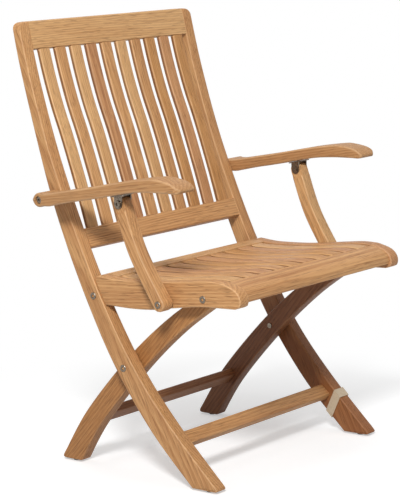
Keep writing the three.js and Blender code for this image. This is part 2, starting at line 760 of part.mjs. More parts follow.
// Height of the armrest's underside at a depth
function armUndersideAt(y) {
  const i = Math.max(armLower.findIndex((p) => p.x >= y), 1);
  return THREE.MathUtils.mapLinear(y, armLower[i - 1].x, armLower[i].x, armLower[i - 1].y, armLower[i].y);
}

const postHeadDepth = post.headDepthShare * chair.depth;

// Slope of the armrest's underside over the fork's plate
function clevisLean() {
  const reach = clevis.plateLength / 2;
  const rise = armUndersideAt(postHeadDepth + reach) - armUndersideAt(postHeadDepth - reach);
  return Math.atan2(rise, clevis.plateLength);
}

// Height of the fork's top at the post's head, clear of the armrest along the whole plate
function clevisTop() {
  const rooms = Array.from({ length: curveSteps + 1 }, (unused, i) => {
    const reach = clevis.plateLength * (i / curveSteps - 0.5);
    return armUndersideAt(postHeadDepth + reach) - reach * Math.tan(clevisLean());
  });
  return Math.min(...rooms) - seam;
}

// The post's round head turns just under the fork's plate
const headDrop = (clevis.plate + post.width / 2 + post.headGap) / Math.cos(clevisLean());
const postHeadAt = new THREE.Vector2(postHeadDepth, clevisTop() - headDrop);

function armOutline() {
  const angleTo = (place) => inDegrees(place.clone().sub(armPivotAt).angle());
  const from = angleTo(armUnder) - 2 * halfTurn + arm.endBlend;
  const end = arcRound(armPivotAt, arm.endRadius, from, angleTo(armTop) - arm.endBlend, 2 * cornerSteps);
  return joined([[...end, ...armUpper], [...armLower, end[0]]], [arm.tipRadius, 0]);
}

// The armrest from above: a board with a rounded nose
function armPlan(sign) {
  const half = arm.width / 2;
  const noseY = armTipAt.x;
  const [innerWide, innerLong] = [arm.innerNoseWidth, arm.innerNoseLength];
  const [outerWide, outerLong] = [arm.width - arm.innerNoseWidth, arm.outerNoseLength];
  const back = armPivotAt.x + arm.endRadius + overlap;
  const [west, south, east] = [halfTurn, halfTurn + quarterTurn, 2 * halfTurn].map(degrees);
  const shape = new THREE.Shape();
  shape.moveTo(-half, back);
  shape.lineTo(-half, noseY + innerLong);
  shape.absellipse(innerWide - half, noseY + innerLong, innerWide, innerLong, west, south, false, 0);
  shape.absellipse(half - outerWide, noseY + outerLong, outerWide, outerLong, south, east, false, 0);
  shape.lineTo(half, back);
  const options = { depth: chair.height, bevelEnabled: false, curveSegments: roundSteps / 2 };
  const geometry = new THREE.ExtrudeGeometry(shape, options);
  if (sign < 0) {
    geometry.rotateY(degrees(halfTurn));
    geometry.translate(0, 0, chair.height);
  }
  return geometry;
}

function makeArmrest({ name, sign }) {
  const shaped = common(slab(armOutline(), arm.width, arm.ease), armPlan(sign));
  const well = sign * (arm.width / 2 - arm.wellDepth);
  const bored = cut(
    shaped,
    rod(bolt.radius + running, -arm.width, arm.width, ...armPivotAt),
    rod(bolt.headRadius + bolt.headPlay, well, sign * arm.width, ...armPivotAt),
  );
  return mesh(`armrest_${name}`, bored, 'teak', sign * armX);
}

function postOutline() {
  const line = smooth([postHeelAt, placed(post.bowShares), postHeadAt], curveSteps);
  const half = post.width / 2;
  const left = beside(line, () => half);
  const right = beside(line, () => -half);
  const rounded = (centre, radius, before) => {
    const heading = inDegrees(centre.clone().sub(before).angle());
    return arcRound(centre, radius, heading - quarterTurn, heading + quarterTurn, 2 * cornerSteps);
  };
  const head = rounded(postHeadAt, half, line[curveSteps - 1]);
  const heel = rounded(postHeelAt, post.heelRadius, line[1]);
  return joined([[...right.slice(1, -1), ...head, ...left.slice(1, -1).reverse(), ...heel, right[1]]], [0]);
}

// A straight slot with round ends between two places, cut from one X to another
function slot(from, to, radius, fromX, toX) {
  const way = inDegrees(to.clone().sub(from).angle());
  const outline = [
    ...arcRound(to, radius, way - quarterTurn, way + quarterTurn, roundSteps / 2),
    ...arcRound(from, radius, way + quarterTurn, way + quarterTurn + halfTurn, roundSteps / 2),
  ];
  return slab(outline, Math.abs(toX - fromX), 0).translate((fromX + toX) / 2, 0, 0);
}

function makePost({ name, sign }) {
  const half = post.thickness / 2;
  const outward = sign * (half + overlap);
  const recess = half - clevis.ear - running;
  const reach = Math.hypot(clevis.earWidth / 2, clevisTop() - postHeadAt.y) + seam;
  const way = turned(new THREE.Vector2(1, 0), degrees(post.slotTilt));
  const along = (travel) => postHeelAt.clone().addScaledVector(way, travel);
  const slotFloor = sign * (post.slotDepth - half);
  const bored = cut(
    slab(postOutline(), post.thickness, post.ease),
    rod(reach, recess, half + overlap, ...postHeadAt),
    rod(reach, -recess, -half - overlap, ...postHeadAt),
    rod(bolt.radius + running, -post.thickness, post.thickness, ...postHeadAt),
    slot(along(-post.slotBelow), along(post.slotAbove), bolt.radius + post.slotPlay, -outward, slotFloor),
    rod(bolt.radius + fit, sign * (half - bolt.blindDepth), outward, ...postHeelAt),
    rod(bolt.headRadius + fit, sign * (half - sunk - fit), outward, ...postHeelAt),
  );
  return mesh(`arm_post_${name}`, bored, 'teak', sign * postX);
}

// A steel fork under the armrest, with the bolt that the post turns on
function makeClevis({ name, sign }) {
  const half = post.thickness / 2;
  const { x: y, y: z } = postHeadAt;
  const lean = clevisLean();
  const middle = clevisTop() - clevis.plate / 2 / Math.cos(lean);
  const radius = clevis.earWidth / 2;
  const rise = radius * Math.tan(lean);
  const round = arcRound(postHeadAt, radius, halfTurn, 2 * halfTurn, 2 * cornerSteps);
  const earOutline = [...round, point([y + radius, middle + rise]), point([y - radius, middle - rise])];
  const ear = (side) => slab(earOutline, clevis.ear, 0).translate(side * (half - clevis.ear / 2), 0, 0);
  const plate = new THREE.BoxGeometry(post.thickness, clevis.plateLength, clevis.plate);
  plate.rotateX(lean);
  plate.translate(0, y, middle);
  const headTop = half + bolt.headHeight;
  const solid = fuse(
    ear(-1),
    ear(1),
    plate,
    rod(bolt.radius, -half, half, y, z),
    rod(bolt.headRadius, sign * half, sign * headTop, y, z),
    rod(bolt.nutRadius, -sign * half, -sign * (half + bolt.thinNut), y, z, hexagon),
  );
  const [floor, mouth] = [sign * (headTop - bolt.socketDepth), sign * (headTop + overlap)];
  const socket = rod(bolt.socketRadius, floor, mouth, y, z, hexagon);
  return mesh(`arm_bracket_${name}`, cut(solid, socket), 'steel', sign * postX);
}

// Bolts: a turned head with a hexagon socket, facing away from the chair's middle

function boltProfile(length) {
  const top = bolt.headHeight;
  return [
    [0, -length],
    [bolt.radius - bolt.rim / 2, -length],
    [bolt.radius, -length + bolt.rim / 2],
    [bolt.radius, 0],
    [bolt.headRadius, 0],
    [bolt.headRadius, top - bolt.rim],
    [bolt.headRadius - bolt.rim, top],
    [0, top],
  ].map(point);
}

// The head's underside lies at X = 0 on the side given, and the shank runs inward
function boltGeometry(length, sign) {
  const turnedHead = new THREE.LatheGeometry(boltProfile(length), roundSteps);
  const radius = bolt.socketRadius;
  const socket = new THREE.CylinderGeometry(radius, radius, 2 * bolt.socketDepth, hexagon);
  socket.translate(0, bolt.headHeight, 0);
  return cut(turnedHead, socket).rotateZ(-sign * degrees(quarterTurn));
}

function makeBolt(label, { name, sign }, place, underHead, length) {
  return mesh(`${label}_${name}`, boltGeometry(length, sign), 'steel', sign * underHead, ...place);
}

function makeHingeBolt(side) {
  const head = stileOuter - sunk;
  return makeBolt('hinge_bolt', side, stileBoltAt, head, head - stileInner + hinge.plate);
}

function makeLegBolt(side) {
  const { name, sign } = side;
  const seatX = stileOuter - sunk;
  const legInner = legX - leg.thickness / 2;
  const end = legInner - bolt.endHeight;
  const along = (radius, fromX, toX) => rod(radius, sign * (fromX - seatX), sign * (toX - seatX), 0, 0);
  const washer = along(bolt.nutRadius, stileInner - running, legOuter + running);
  const cap = along(bolt.endRadius, legInner - running, end);
  const solid = fuse(boltGeometry(seatX - end, sign), washer, cap);
  return mesh(`leg_bolt_${name}`, solid, 'steel', sign * seatX, ...crossingAt);
}

function makeArmBolt(side) {
  const head = armInner + arm.width - arm.wellDepth + seam;
  return makeBolt('arm_bolt', side, armPivotAt, head, head - stileOuter + bolt.stileGrip);
}

function makeSeatBolt(side) {
  return makeBolt('seat_bolt', side, legTipAt, railOuter - sunk, seatBoltDepth - sunk - fit);
}

function makePostBolt(side) {
  const outer = postX + post.thickness / 2;
  return makeBolt('post_bolt', side, postHeelAt, outer - sunk, bolt.blindDepth - sunk - fit);
}

// The peg and spacer that hold the arm post to the seat rail
function makePostPin({ name, sign }) {
  const inner = railOuter - bolt.blindDepth + fit;
  const outer = armInner + post.slotDepth - post.pinGap;
  const peg = rod(bolt.radius, sign * inner, sign * outer, 0, 0);
  const spacer = rod(bolt.nutRadius, sign * railOuter, sign * (armInner - seam), 0, 0);
  return mesh(`post_pin_${name}`, fuse(peg, spacer), 'steel', 0, ...postHeelAt);
}

// A steel plate on the stile's inner face, with the pin that the seat turns on
function makeHingePlate({ name, sign }) {
  const [near, far] = [sign * stileInner, sign * (stileInner - hinge.plate)];
  const plate = slot(stileBoltAt, hingeAxis, hinge.width / 2, far, near);
  const pin = rod(bolt.radius, far, sign * (railInner + hinge.plate + hinge.pinLength), ...hingeAxis);
  const hole = rod(bolt.radius + fit, far - sign * overlap, near + sign * overlap, ...stileBoltAt);
  return mesh(`hinge_plate_${name}`, cut(fuse(plate, pin), hole), 'steel');
}

// Glides under the feet

function makeGlide(label, { name, sign }, x, y) {
  const profile = [
    [0, 0],
    [glide.radius - glide.crown, 0],
    [glide.radius, glide.crown],
    [glide.radius, glide.height],
    [0, glide.height],
  ].map(point);
  const geometry = new THREE.LatheGeometry(profile, roundSteps);
  geometry.rotateX(degrees(quarterTurn));
  return mesh(`${label}_${name}`, geometry, 'rubber', sign * x, y, 0);
}

// Where an edge line of the stile crosses a height
const rearAt = (height) => faceAt(stileRear, height);

// A band round the right front leg beside the front stretcher, wound askew
function makeStrap() {
  const height = strap.heightShare * chair.height;
  const front = new THREE.Vector2(frontAt(height), height);
  const lean = degrees(quarterTurn) - slopeAt(height);
  const depth = (rearAt(height) - front.x) * Math.sin(lean);
  const slide = Math.tan(degrees(strap.skew));
  const centre = front.clone().add(turned(new THREE.Vector2(-slide, -1).multiplyScalar(depth / 2), lean));
  const deep = depth + 2 * strap.air;
  const wide = stile.thickness + 2 * strap.air;
  const outer = new THREE.BoxGeometry(wide + 2 * strap.wall, strap.width, deep + 2 * strap.wall);
  const inner = new THREE.BoxGeometry(wide, 2 * strap.width, deep);
  const ring = cut(outer, inner);
  ring.applyMatrix4(new THREE.Matrix4().makeShear(0, 0, 0, 0, 0, slide));
  ring.rotateX(lean);
  return mesh('foot_band', ring, 'tape', stileX, centre.x, centre.y);
}

// The chair

const soleMiddle = (line, other) => (above(line, glide.height)[0].x + above(other, glide.height)[0].x) / 2;
const frontGlideY = soleMiddle(stileFront, stileRear);

const backFrame = body(
  'back_frame',
  eachSide(makeStile),
  makeTopRail(),
  makeLowerRail(),
  makeBackSlats(),
  mesh('front_stretcher', slab(barOutline(frontStretcher), 2 * stileInner, 0), 'teak'),
  eachSide(makeHingePlate),
  eachSide(makeHingeBolt),
  eachSide(makeLegBolt),
  eachSide(makeArmBolt),
  eachSide((side) => makeGlide('front_glide', side, stileX, frontGlideY)),
  makeStrap(),
);
const seat = body(
  'seat',
  eachSide(makeSideRail),
  makeFrontRail(),
  makeRearRail(),
  makeSeatSlats(),
  makeBatten(),
  eachSide(makeSeatBolt),
  eachSide(makePostPin),
);
const rearLegs = body(
  'rear_legs',
  eachSide(makeLeg),
  mesh('rear_stretcher', slab(barOutline(rearStretcher), 2 * legX - leg.thickness, 0), 'redTeak'),
  eachSide((side) => makeGlide('rear_glide', side, legX, placed(leg.footShares).x)),
);
const arms = sides.map((side) => body(`arm_${side.name}`, makeArmrest(side), makeClevis(side)));
const posts = sides.map((side) => body(`post_${side.name}`, makePost(side), makePostBolt(side)));

const armchair = new THREE.Group();
armchair.name = 'folding_armchair';
armchair.add(backFrame, seat, rearLegs, ...arms, ...posts);

// The origin is the middle of the box round the whole chair, on the floor
const whole = new THREE.Box3().setFromObject(armchair, true);
armchair.position.y = -(whole.min.y + whole.max.y) / 2;
export default armchair;
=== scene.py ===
# %% [markdown]
# # A folding teak armchair
#
# This lesson dresses a folding garden chair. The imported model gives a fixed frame: where each timber
# and each bolt is, and which body it moves with. Here every timber gets a finer skin with eased edges,
# and a wood made of growth rings, streaks, fibres and pores that run along that timber.

# %% Load the frame
import json
import math
import bmesh
import bpy
import numpy as np
from mathutils import Matrix, Vector


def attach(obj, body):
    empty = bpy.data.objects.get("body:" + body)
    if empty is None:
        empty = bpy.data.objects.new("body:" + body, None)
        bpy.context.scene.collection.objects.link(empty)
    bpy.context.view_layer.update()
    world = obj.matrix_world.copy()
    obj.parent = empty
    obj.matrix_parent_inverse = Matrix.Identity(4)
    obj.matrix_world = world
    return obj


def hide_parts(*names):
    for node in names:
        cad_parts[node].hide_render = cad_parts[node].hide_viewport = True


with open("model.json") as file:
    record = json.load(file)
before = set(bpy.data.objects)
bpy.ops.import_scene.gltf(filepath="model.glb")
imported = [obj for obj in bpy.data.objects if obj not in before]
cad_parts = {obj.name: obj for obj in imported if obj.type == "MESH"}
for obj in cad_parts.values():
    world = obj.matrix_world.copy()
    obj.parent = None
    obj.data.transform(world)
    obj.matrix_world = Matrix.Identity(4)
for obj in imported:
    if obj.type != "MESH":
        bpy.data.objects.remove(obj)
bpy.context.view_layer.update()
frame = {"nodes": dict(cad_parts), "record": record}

# %% [markdown]
# ## One set of measures
#
# The chair was measured in millimetres in its side view: a place is a pair of numbers, depth and
# height, and the chair's width runs along X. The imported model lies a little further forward, so every
# piece is moved by the same small amount when its mesh is written in metres.

# %% Measures that several timbers share
MM = 0.001
FORWARD = -2.619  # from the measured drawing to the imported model, along depth
HALF_SPAN = 274.5  # from the middle to the outer face of a stile
STILE_THICK = 29.5
STILE_INNER = HALF_SPAN - STILE_THICK
RAIL_INSET = 3.7  # the seat is this much narrower than the stiles on each side
RAIL_THICK = 28.0
RAIL_OUTER = HALF_SPAN - RAIL_INSET
RAIL_INNER = RAIL_OUTER - RAIL_THICK
LEG_THICK = 29.0
LEG_GAP = 3.5  # room for a washer between leg and stile
LEG_OUTER = STILE_INNER - LEG_GAP
ARM_GAP = 2.0
ARM_INNER = HALF_SPAN + ARM_GAP
SOLE = 4.0  # height of the timbers' feet above the floor
EASE = 2.5  # eased edge of the larger timbers
SEAM = 0.3  # room between two timbers that are shaped to each other
SIDES = {"left": -1, "right": 1}
print("inner width between the stiles:", 2 * STILE_INNER, "mm")

# %% [markdown]
# ## Lines in the side view
#
# A sawn chair part is a plank cut along two curves. Three helpers draw them: a smooth curve through a
# few measured places, a line beside another line, and a closed outline whose corners are rounded.

# %% Curves through measured places
def smooth(places, steps=60):
    """Curve through places: between two of them it is a cubic that leaves each one along half the line
    that joins that place's neighbours."""
    p = np.asarray(places, float)
    at = np.linspace(0, len(p) - 1, steps + 1)
    i = np.minimum(at.astype(int), len(p) - 2)
    t = (at - i)[:, None]
    a, b = p[i], p[i + 1]
    out = (b - p[np.maximum(i - 1, 0)]) / 2
    into = (p[np.minimum(i + 2, len(p) - 1)] - a) / 2
    return (2 * a - 2 * b + out + into) * t**3 + (3 * b - 3 * a - 2 * out - into) * t**2 + out * t + a


def beside(line, distance):
    """Line at a distance to the left: each point moves square to the direction from its neighbour
    before to its neighbour after."""
    along = np.gradient(line, axis=0)
    along /= np.linalg.norm(along, axis=1)[:, None]
    across = np.c_[-along[:, 1], along[:, 0]]
    return line + across * np.broadcast_to(distance, len(line))[:, None]


def arc(centre, radius, start, stop, steps=16):
    """Points on a circle from one angle to another, in degrees."""
    angle = np.radians(np.linspace(start, stop, steps + 1))
    return np.asarray(centre) + radius * np.c_[np.cos(angle), np.sin(angle)]


def heading(line):
    """Direction of a line's last stretch, in degrees."""
    way = line[-1] - line[-2]
    return math.degrees(math.atan2(way[1], way[0]))


def depth_at(line, height):
    """Depth of a rising line at a height."""
    return np.interp(height, line[:, 1], line[:, 0])


# %% Closed outlines with rounded corners
SPACING = 7.0  # mm between points along a timber
CLOSEST = 0.05  # mm below which two points are one
CORNER_SHARES = np.linspace(0, 1, 8)[1:-1, None]


def without_doubles(line):
    """A closed line without the points that lie on the next one."""
    apart = np.linalg.norm(line - np.roll(line, -1, axis=0), axis=1) > CLOSEST
    return line[apart]


def stretch(line, start, stop):
    """The part of a line between a distance from its start and a distance from its end, with points
    spread evenly by length."""
    gone = np.r_[0, np.cumsum(np.linalg.norm(np.diff(line, axis=0), axis=1))]
    count = max(2, int((gone[-1] - start - stop) / SPACING) + 2)
    at = np.linspace(start, gone[-1] - stop, count)
    return np.c_[np.interp(at, gone, line[:, 0]), np.interp(at, gone, line[:, 1])]


def outline(edges, radii):
    """Closed line made of edges that meet end to end. At a corner both edges are cut back by the radius
    over the tangent of half the angle, and a quadratic curve whose handle is the corner joins them."""
    edges = [np.asarray(e, float) for e in edges]
    backs = []
    for edge, after, radius in zip(edges, edges[1:] + edges[:1], radii):
        a, b = edge[-2] - edge[-1], after[1] - after[0]
        cosine = a @ b / np.linalg.norm(a) / np.linalg.norm(b)
        backs.append(radius / math.tan(math.acos(np.clip(cosine, -1, 1)) / 2) if radius else 0)
    kept = [stretch(e, backs[i - 1], backs[i]) for i, e in enumerate(edges)]
    points = []
    for i, part in enumerate(kept):
        points.append(part)
        if radii[i]:
            t = CORNER_SHARES
            corner, end = edges[i][-1], kept[(i + 1) % len(kept)][0]
            points.append((1 - t) ** 2 * part[-1] + 2 * t * (1 - t) * corner + t**2 * end)
    return without_doubles(np.concatenate(points))


def plank(front, rear, radii=(0, 0, 0, 0)):
    """Closed outline of two long edges that run the same way, with straight ends between them."""
    return outline([front, [front[-1], rear[-1]], rear[::-1], [rear[0], front[0]]], radii)


# %% [markdown]
# ## The skin of a timber
#
# Real planks are cut out, then every long edge is eased with a router. A box with bevelled edges
# can't follow the curves, so a timber is its outline carried across the chair, and near each side
# face the outline shrinks along a quarter circle. A number stored on every point is one in the middle
# of an eased edge and zero on the faces, so that the wood is painted paler along the eased edges:
# partly wear from hands and sandpaper, partly a painted highlight on the rounded edge.

# %% From an outline to a mesh
EASE_STEPS = 4
SHARP = math.radians(38)  # faces that meet at more than this keep a crisp edge


def skin(line, low, high, ease=EASE):
    """Points and faces of an outline carried from X low to X high. Ring k of an eased edge lies
    ease * (1 - cos) in from the side face and the outline is drawn in by ease * (1 - sin)."""
    turn = np.roll(line, -1, axis=0)
    if np.sum(line[:, 0] * turn[:, 1] - turn[:, 0] * line[:, 1]) < 0:
        line = line[::-1]
    ahead = np.roll(line, -1, axis=0) - line
    ahead /= np.linalg.norm(ahead, axis=1)[:, None]
    left = np.c_[-ahead[:, 1], ahead[:, 0]]
    before = np.roll(left, 1, axis=0)
    inward = (left + before) / (1 + np.sum(left * before, axis=1))[:, None]
    if ease:
        angle = np.linspace(0, math.pi / 2, EASE_STEPS + 1)
        away, drawn = ease * (1 - np.cos(angle)), ease * (1 - np.sin(angle))
        x = np.r_[low, low + away, (high - away)[::-1], high]
        shrink = np.r_[ease + 1, drawn, drawn[::-1], ease + 1]
        # paler eased edges: partly wear, partly a painted highlight along the rounding
        edge_wear_and_highlight = np.r_[0, np.sin(2 * angle), np.sin(2 * angle)[::-1], 0]
    else:
        x, shrink, edge_wear_and_highlight = np.array([low, high]), np.zeros(2), np.zeros(2)
    n = len(line)
    flat = line[None] + inward[None] * shrink[:, None, None]
    points = np.concatenate([np.repeat(x, n)[:, None], flat.reshape(-1, 2)], axis=1)
    i = np.arange(n)
    ring = np.arange(len(x) - 1)[:, None] * n
    after = (i + 1) % n
    quads = np.stack([ring + i, ring + after, ring + n + after, ring + n + i], axis=-1).reshape(-1, 4)
    caps = [i[::-1].tolist(), (i + (len(x) - 1) * n).tolist()]
    return points, quads.tolist() + caps, np.repeat(edge_wear_and_highlight, n)


def as_object(name, points, faces, edge_wear_and_highlight=None):
    """A mesh object in metres, smooth except at sharp edges. Besides the edge number that it is given, it
    stores flank, one on the points of the two side faces and zero elsewhere; on slats it places painted
    shade between two slats."""
    mesh = bpy.data.meshes.new(name)
    mesh.from_pydata((points + [0, FORWARD, 0]) * MM, [], faces)
    kept = mesh.attributes.new("edge_wear_and_highlight", "FLOAT", "POINT")
    kept.data.foreach_set("value", np.zeros(len(points)) if edge_wear_and_highlight is None else edge_wear_and_highlight)
    x = points[:, 0]
    flank = mesh.attributes.new("flank", "FLOAT", "POINT")
    flank.data.foreach_set("value", (np.isclose(x, x.min()) | np.isclose(x, x.max())).astype(float))
    made = bpy.data.objects.new(name, mesh)
    bpy.context.scene.collection.objects.link(made)
    mesh.shade_smooth()
    mesh.set_sharp_from_angle(angle=SHARP)
    return made


def turned_out(mesh, weld=0.0):
    """Turns all faces outward. If weld is given, points closer than that are joined first."""
    edit = bmesh.new()
    edit.from_mesh(mesh)
    if weld:
        bmesh.ops.remove_doubles(edit, verts=edit.verts, dist=weld)
    bmesh.ops.recalc_face_normals(edit, faces=edit.faces)
    edit.to_mesh(mesh)
    edit.free()


# %% [markdown]
# Holes and recesses are carved the way a joiner cuts them: a plain body in the shape of the hole is
# taken away from the timber, once, and the result is kept as the timber's own mesh.

# %% Carving
def prism(line, low, high, along_depth=False):
    """A plain cutting body: a closed line carried along X, or along depth if asked."""
    points, faces, _ = skin(np.asarray(line, float), low, high, ease=0)
    if along_depth:
        points = points[:, [1, 0, 2]]
    body = as_object("cutter", points, faces)
    turned_out(body.data)
    return body


def carve(piece, *cutters):
    """Takes each cutter away from the piece and removes the cutters."""
    for cutter in cutters:
        step = piece.modifiers.new("carve", "BOOLEAN")
        step.operation = "DIFFERENCE"
        step.solver = "EXACT"
        step.object = cutter
    bpy.context.view_layer.update()
    shaped = piece.evaluated_get(bpy.context.evaluated_depsgraph_get())
    mesh = bpy.data.meshes.new_from_object(shaped)
    piece.modifiers.clear()
    piece.data = mesh
    mesh.set_sharp_from_angle(angle=SHARP)
    for cutter in cutters:
        bpy.data.objects.remove(cutter)


# %% [markdown]
# ## Shader nodes in few words
#
# A small helper makes a node, sets its options and joins its inputs, so that the wood can be read
# from top to bottom.

# %% A helper for node trees
class Tree:
    """Makes nodes in one tree; an input is either another node's output or a plain value."""

    def __init__(self, tree):
        self.tree = tree

    def make(self, kind, inputs=(), **options):
        node = self.tree.nodes.new(kind)
        for name, value in options.items():
            setattr(node, name, value)
        for socket, value in dict(inputs).items():
            if isinstance(value, bpy.types.NodeSocket):
                self.tree.links.new(value, node.inputs[socket])
            else:
                node.inputs[socket].default_value = value
        return node

    def maths(self, operation, a, b=0.0, c=0.0):
        """One sum on plain numbers; MULTIPLY_ADD is a times b plus c."""
        return self.make("ShaderNodeMath", {0: a, 1: b, 2: c}, operation=operation).outputs[0]

    def scaled(self, vector, factors):
        node = self.make("ShaderNodeVectorMath", {0: vector, 1: factors}, operation="MULTIPLY")
        return node.outputs[0]

    def noise(self, vector, seed, detail=2.0, roughness=0.5):
        """Smooth noise in space; another seed gives another pattern."""
        inputs = {"Vector": vector, "W": seed, "Scale": 1.0, "Detail": detail, "Roughness": roughness}
        return self.make("ShaderNodeTexNoise", inputs, noise_dimensions="4D")

    def between(self, value, low, high, to_low=0.0, to_high=1.0):
        """The range from low to high, carried to another range and held inside it."""
        inputs = {"Value": value, "From Min": low, "From Max": high, "To Min": to_low, "To Max": to_high}
        return self.make("ShaderNodeMapRange", inputs, clamp=True).outputs[0]

    def mixed(self, share, a, b, blend="MIX"):
        """A colour from a to b; inputs 6 and 7 and output 2 are the node's sockets for colours."""
        node = self.make("ShaderNodeMix", {"Factor": share, 6: a, 7: b}, data_type="RGBA", blend_type=blend)
        return node.outputs[2]


def new_material(name):
    """A material with its helper for nodes and the shader that it starts with."""
    material = bpy.data.materials.new(name)
    material.use_nodes = True
    return material, Tree(material.node_tree), material.node_tree.nodes["Principled BSDF"]


# %% [markdown]
# ## Teak
#
# Teak is a warm brown wood with growth rings a few millimetres apart, broad streaks, fine fibres and
# short dark pores, all stretched along the tree. A flat pattern laid on each face would break at
# every edge. This one is solid: it fills space, so a curved cut through it shows the long loops and
# contour lines that sawn and scooped timber has, and its ends show end grain. The tree's axis is the
# pattern's own Y axis.

# %% The grain, built once as a node group
# How often each pattern changes in a metre: across, along and again across the tree
BENDS = (9.0, 1.7, 9.0)
STREAKS = (150.0, 2.2, 150.0)
PATCHES = (11.0, 2.4, 11.0)
FIBRES = (520.0, 8.0, 520.0)
PORES = (850.0, 26.0, 850.0)
BEND_SIZE = 0.022  # metres that the rings stray from true circles
RING_RISE, RING_END = (0.15, 0.85), (1.0, 0.9)  # a year's wood darkens slowly, then ends at once
MIDDLE = (0.3, 0.7)  # the part of a noise that is spread out to run from zero to one
PORE_EDGE = (0.57, 0.66)
# Weights of rings, streaks, patches and fibres in the tone, and the part of their sum that is used
RING_SHARE, STREAK_SHARE, PATCH_SHARE, FIBRE_SHARE = 0.32, 0.34, 0.22, 0.30
TONE_RANGE = (0.18, 1.0)
PORE_BROWN, PORE_SHARE = (0.12, 0.048, 0.018, 1.0), 0.5
# The rubbed colour paints the eased edges paler: partly wear, partly a painted highlight.
RUBBED_AND_HIGHLIT_WOOD, RUBBED_AND_HIGHLIT_SHARE, EDGE_WEAR_AND_HIGHLIGHT_SHARE = (1.0, 0.80, 0.55, 1.0), 0.35, 0.3
ROUGHNESS, FIBRE_ROUGH, PORE_ROUGH = 0.44, 0.16, 0.1
PORE_DEEP = -0.8  # against the fibres, which stand one high


def build_grain():
    """Rings come from the distance to the tree's axis, over the ring width; the other patterns are
    stretched noise. Their weighted sum picks a tone between the pale and the dark wood."""
    group = bpy.data.node_groups.new("teak_grain", "ShaderNodeTree")
    face = group.interface
    for name, kind in [("Place", "Vector"), ("Seed", "Float"), ("Ring Width", "Float"),
                       ("Pale Wood", "Color"), ("Dark Wood", "Color"), ("Edge Wear And Highlight", "Float")]:
        face.new_socket(name, in_out="INPUT", socket_type="NodeSocket" + kind)
    for name, kind in [("Color", "Color"), ("Roughness", "Float"), ("Height", "Float")]:
        face.new_socket(name, in_out="OUTPUT", socket_type="NodeSocket" + kind)
    t = Tree(group)
    given = t.make("NodeGroupInput").outputs
    place, seed = given["Place"], given["Seed"]

    wander = t.noise(t.scaled(place, BENDS), seed, 2.0).outputs["Color"]
    centred = t.make("ShaderNodeVectorMath", {0: wander, 1: (0.5, 0.5, 0.5)}, operation="SUBTRACT").outputs[0]
    bent = t.scaled(centred, (BEND_SIZE, 0.0, BEND_SIZE))
    moved = t.make("ShaderNodeVectorMath", {0: bent, 1: place}, operation="ADD").outputs[0]
    from_axis = t.scaled(moved, (1.0, 0.0, 1.0))
    radius = t.make("ShaderNodeVectorMath", {0: from_axis}, operation="LENGTH").outputs["Value"]
    year = t.maths("FRACT", t.maths("DIVIDE", radius, given["Ring Width"]))
    late = t.maths("MULTIPLY", t.between(year, *RING_RISE), t.between(year, *RING_END))

    streak = t.between(t.noise(t.scaled(place, STREAKS), seed, 4.0, 0.65).outputs[0], *MIDDLE)
    patch = t.between(t.noise(t.scaled(place, PATCHES), seed, 2.0).outputs[0], *MIDDLE)
    fibre = t.between(t.noise(t.scaled(place, FIBRES), seed, 3.0, 0.6).outputs[0], *MIDDLE)
    pore = t.between(t.noise(t.scaled(place, PORES), seed, 1.0).outputs[0], *PORE_EDGE)

    tone = t.maths("MULTIPLY_ADD", late, RING_SHARE, t.maths("MULTIPLY", streak, STREAK_SHARE))
    tone = t.maths("MULTIPLY_ADD", patch, PATCH_SHARE, tone)
    tone = t.maths("MULTIPLY_ADD", fibre, FIBRE_SHARE, tone)
    tone = t.between(tone, *TONE_RANGE)
    wood = t.mixed(tone, given["Pale Wood"], given["Dark Wood"])
    wood = t.mixed(t.maths("MULTIPLY", pore, PORE_SHARE), wood, PORE_BROWN)
    # Eased edges are painted paler: partly wear, partly a painted highlight on the rounding.
    rubbed_and_highlit = t.mixed(RUBBED_AND_HIGHLIT_SHARE, given["Pale Wood"], RUBBED_AND_HIGHLIT_WOOD)
    wood = t.mixed(t.maths("MULTIPLY", given["Edge Wear And Highlight"], EDGE_WEAR_AND_HIGHLIGHT_SHARE), wood, rubbed_and_highlit)
    rough = t.maths("MULTIPLY_ADD", pore, PORE_ROUGH, ROUGHNESS)
    rough = t.maths("MULTIPLY_ADD", fibre, FIBRE_ROUGH, rough)
    height = t.maths("MULTIPLY_ADD", pore, PORE_DEEP, fibre)
    t.make("NodeGroupOutput", {"Color": wood, "Roughness": rough, "Height": height})
    return group


grain = build_grain()
print("grain group with", len(grain.nodes), "nodes")

# %% [markdown]
# Each timber comes from another board, so each has its own material: the same grain group, turned so
# that its axis lies along the timber, moved so that the middle of the tree lies outside the plank,
# and mixed from its own pair of browns.

# %% One board's wood
TONES = {  # pale and dark wood, as light that the board sends back
    "honey": ((0.66, 0.370, 0.158), (0.36, 0.150, 0.050)),
    "pale": ((0.74, 0.455, 0.210), (0.45, 0.220, 0.082)),
    "rosy": ((0.62, 0.330, 0.148), (0.34, 0.140, 0.053)),
    "amber": ((0.63, 0.335, 0.124), (0.35, 0.145, 0.042)),
    "tan": ((0.57, 0.320, 0.140), (0.33, 0.145, 0.050)),
    # a darker copy of the wood for parts under the seat: partly painted shade, partly darker wood
    "brown": ((0.37, 0.165, 0.066), (0.17, 0.060, 0.024)),
}
FOOT_SHADE_TINT = (0.52, 0.38, 0.30, 1)  # what painted shade under the seat, with a redder tone, leaves of the wood's colour at a low end
FOOT_SHADE_HEIGHTS = (0.26, 0.44)  # metres: fully dark below the first, plain above the second
FLANK_SHADE_TINT = (0.30, 0.19, 0.12, 1)  # what painted shade leaves of the wood's colour on the side faces between two slats
GRAIN_TILT = 1.6  # degrees that the grain may run off the timber's length
TREE_AT, TREE_PLAY = (0.05, -0.06), 0.03  # metres from the plank to the middle of the tree
BUMP, BUMP_HEIGHT = 0.35, 0.0004
GLOSS = 0.35


